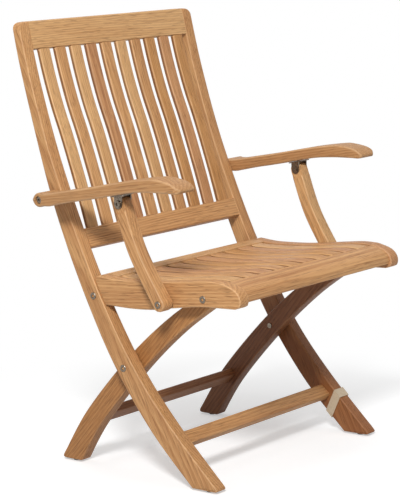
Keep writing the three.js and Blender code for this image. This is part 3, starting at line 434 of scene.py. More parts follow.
def board(name, tone, seed, lean=0.0, across=False, ring=0.0055, shade_and_red_foot=0.0, flank_shade=0.0):
    """Teak for one timber. lean is the angle of its length above level in the side view, in degrees;
    across is for a timber that runs along the chair's width. The foot option is how strongly the
    board's low end is darker and redder: partly painted shade under the seat, partly the wood's own
    redder tone. The flank option is how strongly the side faces of a slat are darker, as painted
    shade in the gaps between slats. The seed picks the noise, the tilt of the grain and the plank's
    place in the tree, through sines of the seed times numbers that have nothing in common."""
    material, t, shader = new_material("teak_" + name)
    place = t.make("ShaderNodeTexCoord").outputs["Object"]
    tilt = math.radians(GRAIN_TILT * math.sin(seed * 5.1))
    turn = (-math.radians(lean) + tilt, 0.0, math.radians(90) + tilt if across else tilt)
    offset = (TREE_AT[0] + TREE_PLAY * math.sin(seed * 2.3), seed * 0.37,
              TREE_AT[1] + TREE_PLAY * math.cos(seed * 3.7))
    turned = t.make("ShaderNodeMapping", {"Vector": place, "Rotation": turn, "Location": offset})
    pale, dark = TONES[tone]
    wood = t.make("ShaderNodeGroup", {}, node_tree=grain)
    values = {"Seed": seed, "Ring Width": ring, "Pale Wood": (*pale, 1), "Dark Wood": (*dark, 1)}
    for socket, value in values.items():
        wood.inputs[socket].default_value = value
    links = material.node_tree.links
    links.new(turned.outputs[0], wood.inputs["Place"])
    links.new(t.make("ShaderNodeAttribute", attribute_name="edge_wear_and_highlight").outputs["Fac"], wood.inputs["Edge Wear And Highlight"])
    relief = {"Strength": BUMP, "Distance": BUMP_HEIGHT, "Height": wood.outputs["Height"]}
    bump = t.make("ShaderNodeBump", relief)
    colour = wood.outputs["Color"]
    # Painted shade under the seat, with a redder tone of the wood: a board's low end is darkened by height.
    if shade_and_red_foot:
        height = t.make("ShaderNodeSeparateXYZ", {0: place}).outputs[2]
        shade = t.between(height, *FOOT_SHADE_HEIGHTS, shade_and_red_foot, 0.0)
        colour = t.mixed(shade, colour, FOOT_SHADE_TINT, "MULTIPLY")
    # Painted shade: the side faces of a slat are darkened as if the gaps between slats lay in shade.
    if flank_shade:
        flank = t.make("ShaderNodeAttribute", attribute_name="flank").outputs["Fac"]
        colour = t.mixed(t.maths("MULTIPLY", flank, flank_shade), colour, FLANK_SHADE_TINT, "MULTIPLY")
    links.new(colour, shader.inputs["Base Color"])
    links.new(wood.outputs["Roughness"], shader.inputs["Roughness"])
    links.new(bump.outputs[0], shader.inputs["Normal"])
    shader.inputs["Specular IOR Level"].default_value = GLOSS
    return material


# %% From a board to a finished timber
ACROSS = {"across": True, "ring": 0.005}


def timber(node, body, line, low, high, wood, ease=EASE):
    """Skins a timber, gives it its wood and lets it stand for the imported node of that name. wood is a
    tone, a seed and further options of its board."""
    piece = as_object("wood_" + node, *skin(line, low, high, ease))
    finish(piece, node, body, wood)
    return piece


def crossbar(node, body, line, half_width, tone, seed):
    """A timber from one side of the chair to the other, square at its ends."""
    timber(node, body, line, -half_width, half_width, (tone, seed, ACROSS), 0)


def finish(piece, node, body, wood):
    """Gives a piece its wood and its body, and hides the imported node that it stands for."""
    tone, seed, options = wood
    piece.data.materials.append(board(node, tone, seed, **options))
    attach(piece, body)
    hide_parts(node)


def across_chair(sign, inner, outer):
    """Low and high X of a timber that lies between two distances from the chair's middle."""
    return (inner, outer) if sign > 0 else (-outer, -inner)


print("tones of teak:", ", ".join(TONES))


# %% [markdown]
# ## The stiles
#
# The two long timbers run from the front feet to the top of the back. One middle line with a width
# would draw them too, but the plank is wider in the middle, so the front and the rear edge are curves
# of their own, measured separately. Seen from the front, the outer top corners are rounded, and
# carving takes them off.

# %% Stiles
HEIGHT = 924.0
CORNER = 20.0  # radius of the back's outer top corners
CLEAR = 9.0  # mm that the corner's cutter reaches past the wood
TOP_DEPTHS = (200.0, 340.0)  # a stretch of depth that holds the whole top of a stile
front_places = [(-214, 8), (-102, 118), (-14, 222), (62, 345),
                (127, 477), (193, 641), (240, 795), (270, HEIGHT)]
rear_places = [(-145, 8), (-45, 108), (45, 230), (113, 356),
               (169.5, 484), (213.5, 610), (268.5, 818), (289.5, HEIGHT)]


def above_floor(edge):
    """An edge drawn straight on past its foot, for 20 of its steps, and cut level at the sole."""
    longer = np.concatenate([[edge[0] + (edge[0] - edge[1]) * 20], edge])
    first = int(np.argmax(longer[:, 1] > SOLE))
    cut = depth_at(longer[first - 1:first + 1], SOLE)
    return np.concatenate([[(cut, SOLE)], longer[first:]])


def top_corner(sign):
    """What lies outside the rounded outer corner of the back: a square less a quarter disc."""
    x, z = HALF_SPAN - CORNER, HEIGHT - CORNER
    round_edge = arc((x, z), CORNER, 0, 90, 12)
    beyond = [(x, HEIGHT + CLEAR), (HALF_SPAN + CLEAR, HEIGHT + CLEAR), (HALF_SPAN + CLEAR, z)]
    return prism(np.concatenate([round_edge, beyond]) * [sign, 1], *TOP_DEPTHS, along_depth=True)


stile_front = above_floor(smooth(front_places, 140))
stile_rear = above_floor(smooth(rear_places, 140))
stile_line = plank(stile_front, stile_rear, [6, 6, 3, 6])
for side, sign in SIDES.items():
    low, high = across_chair(sign, STILE_INNER, HALF_SPAN)
    # The right stile stands in the seat's shade, so its foot gets far more painted shade than the left one's.
    wood = ("honey", 1.3 + sign, {"lean": 66, "shade_and_red_foot": 1.0 if sign > 0 else 0.1})
    stile = timber("stile_" + side, "back_frame", stile_line, low, high, wood)
    carve(stile, top_corner(sign))
print("a stile has", len(stile.data.vertices), "points")

# %% [markdown]
# ## Rails of the back
#
# The top rail and the lower rail are set between the stiles, flush with their front faces. Leaning
# boxes would do for straight stiles. These are curved, so each rail is a band between two heights of
# the stile's own front edge, and its face always meets theirs.

# %% Back rails
TOP_RAIL = (868.0, HEIGHT, 20.0)  # lower edge, upper edge and thickness
LOW_RAIL = (465.5, 503.0, 21.0)
NEAR_TOP = HEIGHT - 6  # height at which the lean of the very top is read


def front_lean(height, step=5):
    """Angle of the stile's front edge from upright, from its depth a step above and a step below."""
    return math.atan2(depth_at(stile_front, height + step) - depth_at(stile_front, height - step), 2 * step)


def behind(height, distance):
    """Place at a distance behind the stile's front edge, square to it."""
    lean = front_lean(min(height, NEAR_TOP))
    on_edge = np.array([depth_at(stile_front, height), height])
    return on_edge + distance * np.array([math.cos(lean), -math.sin(lean)])


def back_rail(bottom, top, thick):
    """The band between two heights. The chair's top is level, so there the rear corner lies straight
    behind the front one, at the thickness over the cosine of the lean."""
    heights = np.linspace(bottom, top, 4)
    front = np.array([behind(z, 0) for z in heights])
    rear = np.array([behind(z, thick) for z in heights])
    if top == HEIGHT:
        rear[-1] = (front[-1][0] + thick / math.cos(front_lean(NEAR_TOP)), HEIGHT)
    return plank(front, rear, [EASE] * 4)


crossbar("top_rail", "back_frame", back_rail(*TOP_RAIL), STILE_INNER, "pale", 4.2)
crossbar("lower_back_rail", "back_frame", back_rail(*LOW_RAIL), STILE_INNER, "honey", 5.6)
print("back rails from", LOW_RAIL[0], "to", TOP_RAIL[1], "mm high")

# %% [markdown]
# ## Slats of the back
#
# Ten thin slats are bent to the shape of the sitter's back and end on the rails. Each could be drawn
# by itself, but real ones are cut alike, so all share one outline. Only their place and their board
# differ, and with the board the tone, the width of its rings and the run of its grain.

# %% Back slats
SLAT_GAP = 16.0
SLAT_THICK = 10.5
SLAT_EASE = 3.4
slat_tones = ["pale", "honey", "pale", "rosy", "honey", "pale", "honey", "amber", "rosy", "amber"]
slat_middle = smooth([(144.1, 492.5), (162.9, 556.8), (183.3, 621), (204.9, 685.2),
                      (229, 749.5), (248.6, 813.8), (264.4, 878)], 70)


def above_rail(points, height, thick):
    """Which points lie above the leaning face of a rail: there the cross product of the way back along
    the face and the way to the point is positive."""
    corner = behind(height, 0)
    way, to = behind(height, thick) - corner, points - corner
    return way[0] * to[:, 1] - way[1] * to[:, 0] > 0


def between_rails(edge):
    """The stretch of a slat's edge between the two rails. Many points are put in first, so that the
    cut is fine."""
    share, given = np.linspace(0, 1, 1400), np.linspace(0, 1, len(edge))
    fine = np.c_[np.interp(share, given, edge[:, 0]), np.interp(share, given, edge[:, 1])]
    over_low = above_rail(fine, LOW_RAIL[1] + SEAM, LOW_RAIL[2])
    over_top = above_rail(fine, TOP_RAIL[0] - SEAM, TOP_RAIL[2])
    return fine[over_low & ~over_top]


def slat_room(half_width, gap, count):
    """Width of one slat: what the gaps leave, shared out."""
    return (2 * half_width - gap * (count + 1)) / count


slat_front = between_rails(beside(slat_middle, SLAT_THICK / 2))
slat_rear = between_rails(beside(slat_middle, -SLAT_THICK / 2))
slat_line = plank(slat_front, slat_rear)
slat_width = slat_room(STILE_INNER, SLAT_GAP, len(slat_tones))
for i, tone in enumerate(slat_tones):
    low = -STILE_INNER + SLAT_GAP + i * (slat_width + SLAT_GAP)
    # the side faces get painted shade from the gaps between slats
    wood = (tone, 7.1 + i * 1.37, {"lean": 73, "ring": 0.004 + 0.0004 * (i % 4), "flank_shade": 0.65})
    timber(f"back_slat_{i + 1}", "back_frame", slat_line, low, low + slat_width, wood, SLAT_EASE)
print("back slats of", slat_width, "mm")

# %% [markdown]
# ## Stretchers
#
# Two bars keep the feet apart. A plain box that is turned and bevelled would do, but its ends would
# be bevelled too. So the outline is a rounded rectangle, turned to lie in line with the legs, and
# only its long edges are round.

# %% Stretchers
def bar(centre, width, thick, tilt, radius):
    """Rounded rectangle turned by an angle about its middle."""
    a = math.radians(tilt)
    centre = np.array(centre, float)
    along = np.array([math.cos(a), math.sin(a)]) * width / 2
    across = np.array([-math.sin(a), math.cos(a)]) * thick / 2
    c = [centre - along - across, centre + along - across, centre + along + across, centre - along + across]
    return outline([[c[i], c[(i + 1) % 4]] for i in range(4)], [radius] * 4)


front_bar = bar((-96, 86), width=31, thick=19.5, tilt=41, radius=5)
rear_bar = bar((143, 101), width=33, thick=18.5, tilt=-46, radius=4)
LEG_INNER = LEG_OUTER - LEG_THICK
crossbar("front_stretcher", "back_frame", front_bar, STILE_INNER, "honey", 21.4)
# The rear stretcher, under the seat, takes the darker brown: partly painted shade, partly darker wood.
crossbar("rear_stretcher", "rear_legs", rear_bar, LEG_INNER, "brown", 22.9)
print("stretchers of", 2 * STILE_INNER, "and", 2 * LEG_INNER, "mm")

# %% [markdown]
# ## Rear legs
#
# The rear legs cross the stiles and carry the seat on a pin near its nose. A leg narrows from its
# foot to its tip, alike on both edges, so a middle line with a width at three places is enough here,
# unlike in the stiles. Half a circle closes the tip.

# %% Rear legs
LEG_PLACES = [(207, 8), (139.4, 104.6), (21.3, 228.6), (-88.4, 321.5), (-191.3, 389.3)]
LEG_SHARES = [0, 0.5, 1]  # of its length: the foot, the crossing with the stile and the tip
LEG_WIDTHS = [47, 43, 33]
leg_middle = smooth(LEG_PLACES, 90)
leg_half = np.interp(np.linspace(0, 1, len(leg_middle)), LEG_SHARES, LEG_WIDTHS) / 2
tip_turn = heading(leg_middle)
tip_round = arc(LEG_PLACES[-1], LEG_WIDTHS[-1] / 2, tip_turn + 90, tip_turn - 90, 20)
leg_front = np.concatenate([above_floor(beside(leg_middle, leg_half))[:-1], tip_round])
leg_rear = np.concatenate([tip_round[-1:], above_floor(beside(leg_middle, -leg_half))[::-1][1:]])
leg_line = outline([leg_front, leg_rear, [leg_rear[-1], leg_front[0]]], [0, 7, 7])
for side, sign in SIDES.items():
    low, high = across_chair(sign, LEG_INNER, LEG_OUTER)
    # The right leg, in the seat's shade, takes the darker brown: partly painted shade, partly darker wood.
    wood = ("amber" if sign < 0 else "brown", 31.7 + sign * 1.9, {"lean": 134, "shade_and_red_foot": 0.5})
    leg = timber("rear_leg_" + side, "rear_legs", leg_line, low, high, wood)
print("a rear leg has", len(leg.data.vertices), "points")

# %% [markdown]
# ## The seat's frame
#
# Each side rail has a scooped top, a blunt rounded nose and a hollow underside, and its rear end is
# round about the hinge pin, so that it can turn beside the stile. Its outline is three curves that
# meet, because one curve through all the places would swing out at the nose. The front rail carries
# the same nose between the side rails, and the rear rail closes the seat.

# %% Seat profile
HINGE_HEIGHT = 404.0
HINGE_AHEAD = 10.3  # from the stile's front face to the pin, square to the face
HINGE_ROUND = 9.5  # radius of the seat's rear edge about the pin
HEEL_HEIGHT = 354.5  # of the side rail's lower rear corner
HEEL_GAP = 0.8  # between that corner and the stile's front edge
hinge_y = depth_at(stile_front, HINGE_HEIGHT) - HINGE_AHEAD / math.cos(front_lean(HINGE_HEIGHT))
hinge_at = np.array([hinge_y, HINGE_HEIGHT])
top_places = [(hinge_y, HINGE_HEIGHT + HINGE_ROUND), (40, 409.5), (0, 409.5), (-50, 411.5),
              (-100, 416), (-150, 421.5), (-200, 426.1), (-235, 425.2)]
nose_places = [(-262, 418), (-276, 410), (-283, 400), (-284.5, 390), (-281, 381), (-269, 376.5)]
under_places = [(-235, 375.5), (-184, 373.5), (-112, 364), (-60, 356), (0, 353)]
seat_top = smooth(top_places, 120)
rail_top = np.concatenate([seat_top, smooth([top_places[-1], *nose_places], 40)[1:]])
rail_heel = (depth_at(stile_front, HEEL_HEIGHT) - HEEL_GAP, HEEL_HEIGHT)
rail_under = smooth([nose_places[-1], *under_places, rail_heel], 120)
rail_rim = arc(hinge_at, HINGE_ROUND, -math.degrees(front_lean(HINGE_HEIGHT)), 90)
rail_line = outline([rail_top, rail_under, [rail_under[-1], rail_rim[0]], rail_rim], [0, 5, 0, 0])


def seat_at(y):
    """Height of the scooped top at a depth."""
    return np.interp(-np.asarray(y, float), -seat_top[:, 0], seat_top[:, 1])


print("the seat is", seat_at(0), "mm high in its hollow and", seat_at(-200), "near its nose")

# %% [markdown]
# The inner face of each side rail has two recesses: a notch, open downwards, where the pin of the rear
# leg rests, and a shallow pocket beside the hinge plate. Both are carved out of the finished rail.

# %% Side rails
NOTCH = {"way": -51, "reach": 56, "radius": 5.5}  # degrees and millimetres
NOTCH_DEPTH = 11.5
POCKET_AHEAD = 9.1  # the pocket starts this far in front of the hinge
POCKET_REAR, POCKET_LOW, POCKET_HIGH = 112.7, 345.0, 432.0
PAST = 5.0  # mm that a cutter reaches out of the wood
SLIT = 0.1  # hair's breadth between faces that would otherwise fall together


def slot(start, way, reach, radius):
    """A straight slot with a round start: half a disc and two parallel sides."""
    a = math.radians(way)
    far = start + reach * np.array([math.cos(a), math.sin(a)])
    side_step = radius * np.array([-math.sin(a), math.cos(a)])
    return np.concatenate([arc(start, radius, way + 90, way + 270, 14), [far - side_step, far + side_step]])


pocket_front = hinge_y - POCKET_AHEAD
pocket = [(pocket_front, POCKET_LOW), (POCKET_REAR, POCKET_LOW),
          (POCKET_REAR, POCKET_HIGH), (pocket_front, POCKET_HIGH)]
notch = slot(np.array(LEG_PLACES[-1]), **NOTCH)
for side, sign in SIDES.items():
    low, high = across_chair(sign, RAIL_INNER, RAIL_OUTER)
    wood = ("honey" if sign < 0 else "rosy", 41.2 + sign * 2.7, {"lean": -2})
    rail = timber("side_rail_" + side, "seat", rail_line, low, high, wood)
    pin_room = across_chair(sign, RAIL_INNER - PAST, RAIL_INNER + NOTCH_DEPTH)
    plate_room = across_chair(sign, RAIL_INNER - PAST, STILE_INNER + SLIT)
    carve(rail, prism(notch, *pin_room), prism(pocket, *plate_room))
print("a side rail has", len(rail.data.vertices), "points")

# %% Front rail of the seat
FRONT_SUNK = 1.5  # the front rail lies this much under the side rails' tops
FRONT_REAR = -236.0  # depth of its rear face
FRONT_LOW = 386.5  # height of its underside, which is 24 mm deep
NOSE_IN, NOSE_LIMIT = 3.7, -279.0  # its nose lies further in than theirs, and is flatter
front_start = np.array([FRONT_REAR, seat_at(FRONT_REAR) - FRONT_SUNK])
front_nose = smooth([front_start, *[(max(y + NOSE_IN, NOSE_LIMIT), z) for y, z in nose_places]], 40)
front_nose = front_nose[front_nose[:, 1] > FRONT_LOW]
low_front = np.array([front_nose[-1][0], FRONT_LOW])
low_rear = low_front + [24, 0]
high_rear = (FRONT_REAR, front_start[1] - 27)
front_line = outline([np.concatenate([front_nose, [low_front]]), [low_front, low_rear],
                      [low_rear, high_rear], [high_rear, front_start]], [EASE, EASE, 0, 0])
crossbar("front_rail", "seat", front_line, RAIL_INNER, "honey", 45.5)
print("front rail", low_rear[0] - low_front[0], "mm deep at its underside")

# %% Rear rail of the seat
REAR_DEEP = 28.5  # from the pin to the rail's front face
REAR_TALL = 21.0  # the rear rail's height in front of its round edge
PLATE_ROOM = 2.6  # room for a hinge plate at each end
rear_front = hinge_y - REAR_DEEP
rear_low = HINGE_HEIGHT + HINGE_ROUND - REAR_TALL
over_rear = seat_top[(seat_top[:, 0] > rear_front) & (seat_top[:, 0] < hinge_y - 0.5)]
rear_line = without_doubles(np.concatenate([
    arc(hinge_at, HINGE_ROUND, -90, 90), over_rear,
    [(rear_front, over_rear[-1][1]), (rear_front, rear_low), (hinge_y - HINGE_ROUND, rear_low)]]))
crossbar("rear_rail", "seat", rear_line, STILE_INNER - PLATE_ROOM, "pale", 46.8)
print("rear rail", round(REAR_DEEP + HINGE_ROUND, 1), "mm deep")

# %% [markdown]
# ## Seat slats
#
# Ten slats follow the scoop of the seat, a millimetre below the rails. A scooped board cuts through
# its growth rings at a slant, which draws long curved lines on it. Lines painted on the slats could
# copy that, but the solid grain does it by itself. A batten crosses them underneath.

# %% Seat slats and the batten under them
SEAT_GAP = 11.0
SLAT_SUNK = 1.0
SEAT_SLAT_THICK = 15.0
SEAT_SLAT_EASE = 2.9
BATTEN_DEPTHS = (-74.0, -116.0)
BATTEN_THICK = 18.0
seat_tones = ["pale", "honey", "rosy", "honey", "amber", "rosy", "honey", "amber", "rosy", "pale"]
slat_y = np.linspace(rear_front - SLIT, FRONT_REAR + SLIT, 60)
slat_upper = np.c_[slat_y, seat_at(slat_y) - SLAT_SUNK]
slat_lower = beside(slat_upper, SEAT_SLAT_THICK)
slat_lower[[0, -1], 0] = slat_upper[[0, -1], 0]
seat_line = plank(slat_upper, slat_lower)
seat_width = slat_room(RAIL_INNER, SEAT_GAP, len(seat_tones))
for i, tone in enumerate(seat_tones):
    low = -RAIL_INNER + SEAT_GAP + i * (seat_width + SEAT_GAP)
    # the side faces get painted shade from the gaps between slats
    wood = (tone, 51.3 + i * 1.73, {"lean": -1.5, "ring": 0.004 + 0.0005 * (i % 3), "flank_shade": 0.9})
    timber(f"seat_slat_{i + 1}", "seat", seat_line, low, low + seat_width, wood, SEAT_SLAT_EASE)

under = seat_at(BATTEN_DEPTHS) - (SLAT_SUNK + SEAT_SLAT_THICK + SEAM)
batten_top = list(zip(BATTEN_DEPTHS, under))
batten_low = [(y, min(under) - BATTEN_THICK) for y in BATTEN_DEPTHS[::-1]]
# The batten, under the seat, takes the darker brown: partly painted shade, partly darker wood.
crossbar("seat_batten", "seat", np.array(batten_top + batten_low), RAIL_INNER, "brown", 63.1)
print("seat slats of", seat_width, "mm")

# %% [markdown]
# ## Armrests
#
# An armrest is a bent board with a round end at its hinge and a nose whose two corners are rounded in
# plan, the outer one a little more. Cut from its side view like the other timbers, it would have a
# square nose in plan. So the shape is swept: at each depth stands a rounded rectangle whose height
# comes from the side view and whose width comes from the plan.

# %% The armrest's side view
PIVOT = np.array([181.0, 570.0])
PIVOT_ROUND = 15.0  # radius of the rear end
END_TURN = 30  # degrees that the round end leaves to the two curves on each side
NOSE = (-192.0, 607.4)
arm_upper = smooth([(160, 584), (110, 592), (55, 601), (0, 611), (-55, 620.5),
                    (-105, 627), (-132, 628.3), (-171, 621.4), NOSE], 120)
arm_lower = smooth([NOSE, (-183, 601.9), (-160, 602), (-115, 601.5), (-65, 598),
                    (-15, 589), (40, 579), (100, 569), (155, 558)], 120)
tail_angle = math.degrees(math.atan2(*(arm_lower[-1] - PIVOT)[::-1]))
lead_angle = math.degrees(math.atan2(*(arm_upper[0] - PIVOT)[::-1]))
arm_end = arc(PIVOT, PIVOT_ROUND, tail_angle + END_TURN, lead_angle - END_TURN)
arm_line = outline([np.concatenate([arm_end, arm_upper]), np.concatenate([arm_lower, arm_end[:1]])], [6, 0])
print("the armrest's side view has", len(arm_line), "points")

# %% The swept board
ARM_WIDE = 56.0
INNER_CORNER = (24, 9)  # how wide and how long the nose is rounded in plan
OUTER_CORNER = (32, 14)
RIM = math.radians(50)  # sharper folds than this stay crisp on a swept board
WELD = 0.00003  # metres between points that are one, so that the ends of the sweep are closed


def corner_inset(from_nose, wide, long):
    """How far an elliptic corner draws the board's edge in, at a distance from the nose: its width
    times one minus the root of one minus the square of the share that is left of its length."""
    share = np.clip((long - from_nose) / long, 0, 1)
    return wide * (1 - np.sqrt(1 - share**2))


def armrest_skin(sign, stations=110, corner=6, ease=4.0):
    """Rings at depths spaced by a cosine, so that they crowd at both ends. Each ring is a rounded
    rectangle: four corner centres plus a radius times the cosine and sine of the corner's angle."""
    rear, nose = arm_line[:, 0].argmax(), arm_line[:, 0].argmin()
    walk = np.roll(arm_line, -rear, axis=0)
    turn_at = (nose - rear) % len(arm_line)
    one, other = walk[:turn_at + 1], np.concatenate([walk[turn_at:], walk[:1]])
    upper, lower = (one, other) if one[:, 1].mean() > other[:, 1].mean() else (other, one)
    rear_y, nose_y = walk[0][0], walk[turn_at][0]
    y = (rear_y + nose_y) / 2 + (rear_y - nose_y) / 2 * np.cos(np.linspace(0, math.pi, stations))
    top, bottom = (np.interp(y, *part[np.argsort(part[:, 0])].T) for part in (upper, lower))
    inner = corner_inset(y - NOSE[0], *INNER_CORNER)
    outer = ARM_WIDE - corner_inset(y - NOSE[0], *OUTER_CORNER)
    half_x, half_z = (outer - inner) / 2, np.maximum(top - bottom, 0) / 2
    radius = np.minimum(ease, np.minimum(half_x, half_z))
    angle = np.concatenate([np.linspace(q, q + 90, corner) for q in (0, 90, 180, 270)])
    side_x, side_z = np.repeat([(1, 1), (-1, 1), (-1, -1), (1, -1)], corner, axis=0).T

    def around(middle, half, side, way):
        return middle[:, None] + (half - radius)[:, None] * side + radius[:, None] * way

    x = around((outer + inner) / 2, half_x, side_x, np.cos(np.radians(angle)))
    z = around((top + bottom) / 2, half_z, side_z, np.sin(np.radians(angle)))
    n = len(angle)
    points = np.stack([sign * (ARM_INNER + x), np.repeat(y[:, None], n, 1), z], axis=-1).reshape(-1, 3)
    i, ring = np.arange(n), np.arange(stations - 1)[:, None] * n
    after = (i + 1) % n
    quads = np.stack([ring + i, ring + n + i, ring + n + after, ring + after], axis=-1).reshape(-1, 4)
    if sign > 0:
        quads = quads[:, ::-1]
    # paler in the middle of each rounded edge: partly wear, partly a painted highlight
    edge_wear_and_highlight = np.tile(np.sin(np.radians(2 * (angle % 90))), stations)
    return points, quads.tolist(), edge_wear_and_highlight


# %% Both armrests
WELL_ROUND = 8.0  # radius of the well for the bolt's head, in the outer face
WELL_FLOOR = 50.0  # the well starts this far from the inner face


def disc(centre, radius):
    """Points on a full circle, ten degrees apart."""
    return arc(centre, radius, 0, 350, 35)


for side, sign in SIDES.items():
    piece = as_object("wood_armrest_" + side, *armrest_skin(sign))
    turned_out(piece.data, WELD)
    piece.data.set_sharp_from_angle(angle=RIM)
    well = across_chair(sign, ARM_INNER + WELL_FLOOR, ARM_INNER + WELL_FLOOR + 20)
    carve(piece, prism(disc(PIVOT, WELL_ROUND), *well))
    finish(piece, "armrest_" + side, "arm_" + side, ("tan", 71.9 + sign, {"lean": -8}))
print("an armrest has", len(piece.data.vertices), "points")

# %% [markdown]
# ## Arm posts
#
# A post is bowed and of one width, so half a width on each side of its middle line draws it. Both
# ends are round, the lower one a little fuller. Both faces are recessed at the head for the ears of
# the steel fork. A hidden slot in the inner face gives the peg at the heel the play that folding needs.

# %% Arm posts
HEAD = np.array([-12.6, 570.5])
HEEL = np.array([-106.1, 376.5])  # the peg on the side rail
POST_PLACES = [HEEL, (-47, 475), HEAD]
POST_THICK, POST_EASE = 30.0, 3.0
HEAD_ROUND, HEEL_ROUND = 13.5, 14.5
EAR_ROUND, EAR_DEPTH = 20.7, 2.6  # the recesses for the fork's ears
PLAY_WAY = 60  # degrees above level, along which the peg can move in its slot
PLAY_UP, PLAY_DOWN, PLAY_ROUND, PLAY_DEPTH = 5.5, 7.2, 5.0, 12.0
coarse = smooth(POST_PLACES, 18)
head_turn, heel_turn = heading(coarse), heading(coarse[::-1])
post_middle = smooth(POST_PLACES, 60)
post_line = np.concatenate([
    beside(post_middle, -HEAD_ROUND)[1:-1], arc(HEAD, HEAD_ROUND, head_turn - 90, head_turn + 90, 20),
    beside(post_middle, HEAD_ROUND)[1:-1][::-1], arc(HEEL, HEEL_ROUND, heel_turn - 90, heel_turn + 90, 20)])
post_line = outline([np.concatenate([post_line, post_line[:1]])], [0])
slope = np.array([math.cos(math.radians(PLAY_WAY)), math.sin(math.radians(PLAY_WAY))])
play = np.concatenate([
    arc(HEEL + PLAY_UP * slope, PLAY_ROUND, PLAY_WAY - 90, PLAY_WAY + 90, 12),
    arc(HEEL - PLAY_DOWN * slope, PLAY_ROUND, PLAY_WAY + 90, PLAY_WAY + 270, 12)])
for side, sign in SIDES.items():
    outer = ARM_INNER + POST_THICK
    wood = ("honey" if sign < 0 else "pale", 81.4 + sign, {"lean": 64})
    low, high = across_chair(sign, ARM_INNER, outer)
    post = timber("arm_post_" + side, "post_" + side, post_line, low, high, wood, POST_EASE)
    inner_ear = across_chair(sign, ARM_INNER - PAST, ARM_INNER + EAR_DEPTH)
    outer_ear = across_chair(sign, outer - EAR_DEPTH, outer + PAST)
    peg_room = across_chair(sign, ARM_INNER - PAST, ARM_INNER + PLAY_DEPTH)
    ear = disc(HEAD, EAR_ROUND)
    carve(post, prism(ear, *inner_ear), prism(ear, *outer_ear), prism(play, *peg_room))
print("an arm post has", len(post.data.vertices), "points")

# %% [markdown]
# ## Steel, rubber and the band
#
# The bolts, forks and hinge plates are brushed steel that has been outdoors: a metal whose roughness
# is drawn out in fine scratches, with brown dust in its dull spots. The glides are black rubber, and a
# plain band of tape is wrapped round one front foot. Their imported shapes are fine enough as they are,
# so these pieces are kept and only get a new finish.

# %% Steel, rubber and tape
SCRATCHES = (300.0, 2600.0, 900.0)  # changes in a metre, along X, Y and Z
SPOTS = (260.0, 260.0, 260.0)
SPOT_EDGE = (0.45, 0.7)


def build_scratches():
    """Fine scratches and dull spots, as one mask between zero and one: half the one and half the
    other."""
    group = bpy.data.node_groups.new("steel_scratches", "ShaderNodeTree")
    group.interface.new_socket("Place", in_out="INPUT", socket_type="NodeSocketVector")
    group.interface.new_socket("Mask", in_out="OUTPUT", socket_type="NodeSocketFloat")
    t = Tree(group)
    place = t.make("NodeGroupInput").outputs[0]
    fine = t.noise(t.scaled(place, SCRATCHES), 3.0, 3.0).outputs[0]
    spots = t.between(t.noise(t.scaled(place, SPOTS), 8.0, 3.0).outputs[0], *SPOT_EDGE)
    t.make("NodeGroupOutput", {0: t.maths("MULTIPLY_ADD", spots, 0.5, t.maths("MULTIPLY", fine, 0.5))})
    return group


def plain_material(name, group, pale, dark, rough, metallic=0.0):
    """A finish mixed from two colours by a mask that changes over the surface."""
    material, t, shader = new_material(name)
    mask = t.make("ShaderNodeGroup", {}, node_tree=group)
    links = material.node_tree.links
    links.new(t.make("ShaderNodeTexCoord").outputs["Object"], mask.inputs[0])
    links.new(t.mixed(mask.outputs[0], (*pale, 1), (*dark, 1)), shader.inputs["Base Color"])
    links.new(t.between(mask.outputs[0], 0, 1, *rough), shader.inputs["Roughness"])
    shader.inputs["Metallic"].default_value = metallic
    return material


scratches = build_scratches()
finishes = {
    "steel": plain_material("steel", scratches, (0.30, 0.25, 0.20), (0.07, 0.05, 0.035), (0.22, 0.48), 1.0),
    "rubber": plain_material("rubber", scratches, (0.03, 0.028, 0.026), (0.012, 0.011, 0.01), (0.6, 0.85)),
    "band": plain_material("tape", scratches, (0.58, 0.47, 0.335), (0.47, 0.37, 0.25), (0.35, 0.55)),
}
slots = {part["node"]: part["material_slot"] for part in frame["record"]["subparts"]}
for node, obj in frame["nodes"].items():
    if slots[node] in finishes:
        for place in obj.material_slots:
            place.material = finishes[slots[node]]
print("steel, rubber and band given to", sum(s in finishes for s in slots.values()), "nodes")

# %% [markdown]
# ## Floor, light and camera
#
# The photograph has a white ground with a soft grey shadow under the chair. A white floor lit until it
# is white would also light the chair from below. So the floor is only pale, and where the camera or a
# mirror looks at it, it adds a glow of its own, which turns into plain white away from the chair. The
# chair's own gloss counts as such a mirror, so its sheen shows a floor and sky brighter than the light
# they give it: a painted reflection. One lamp stands high at the front left, a broad weaker one hangs
# above the chair, and an even sky fills the shadows.

# %% Floor and sky
FLOOR_REACH = 30.0
FLOOR_PALE = (0.715, 0.722, 0.727, 1)
FLOOR_GLOW = 0.45
FADE = (0.45, 1.0)  # metres from the chair's middle between which the floor turns plain white
SKY_LIGHT, SKY_IN_CAMERA_OR_GLOSS = 0.23, 1.0  # strength as light on the chair, and as the camera and the chair's gloss see it, the latter a painted reflection
WHITE = (1, 1, 1, 1)


def camera_or_gloss_ray(t):
    """One for camera rays and glossy rays, so that the chair's sheen shows the brighter glow as a painted
    reflection; zero for the rest of the light that falls on the chair.
    """
    path = t.make("ShaderNodeLightPath").outputs
    return t.maths("MAXIMUM", path["Is Camera Ray"], path["Is Glossy Ray"])


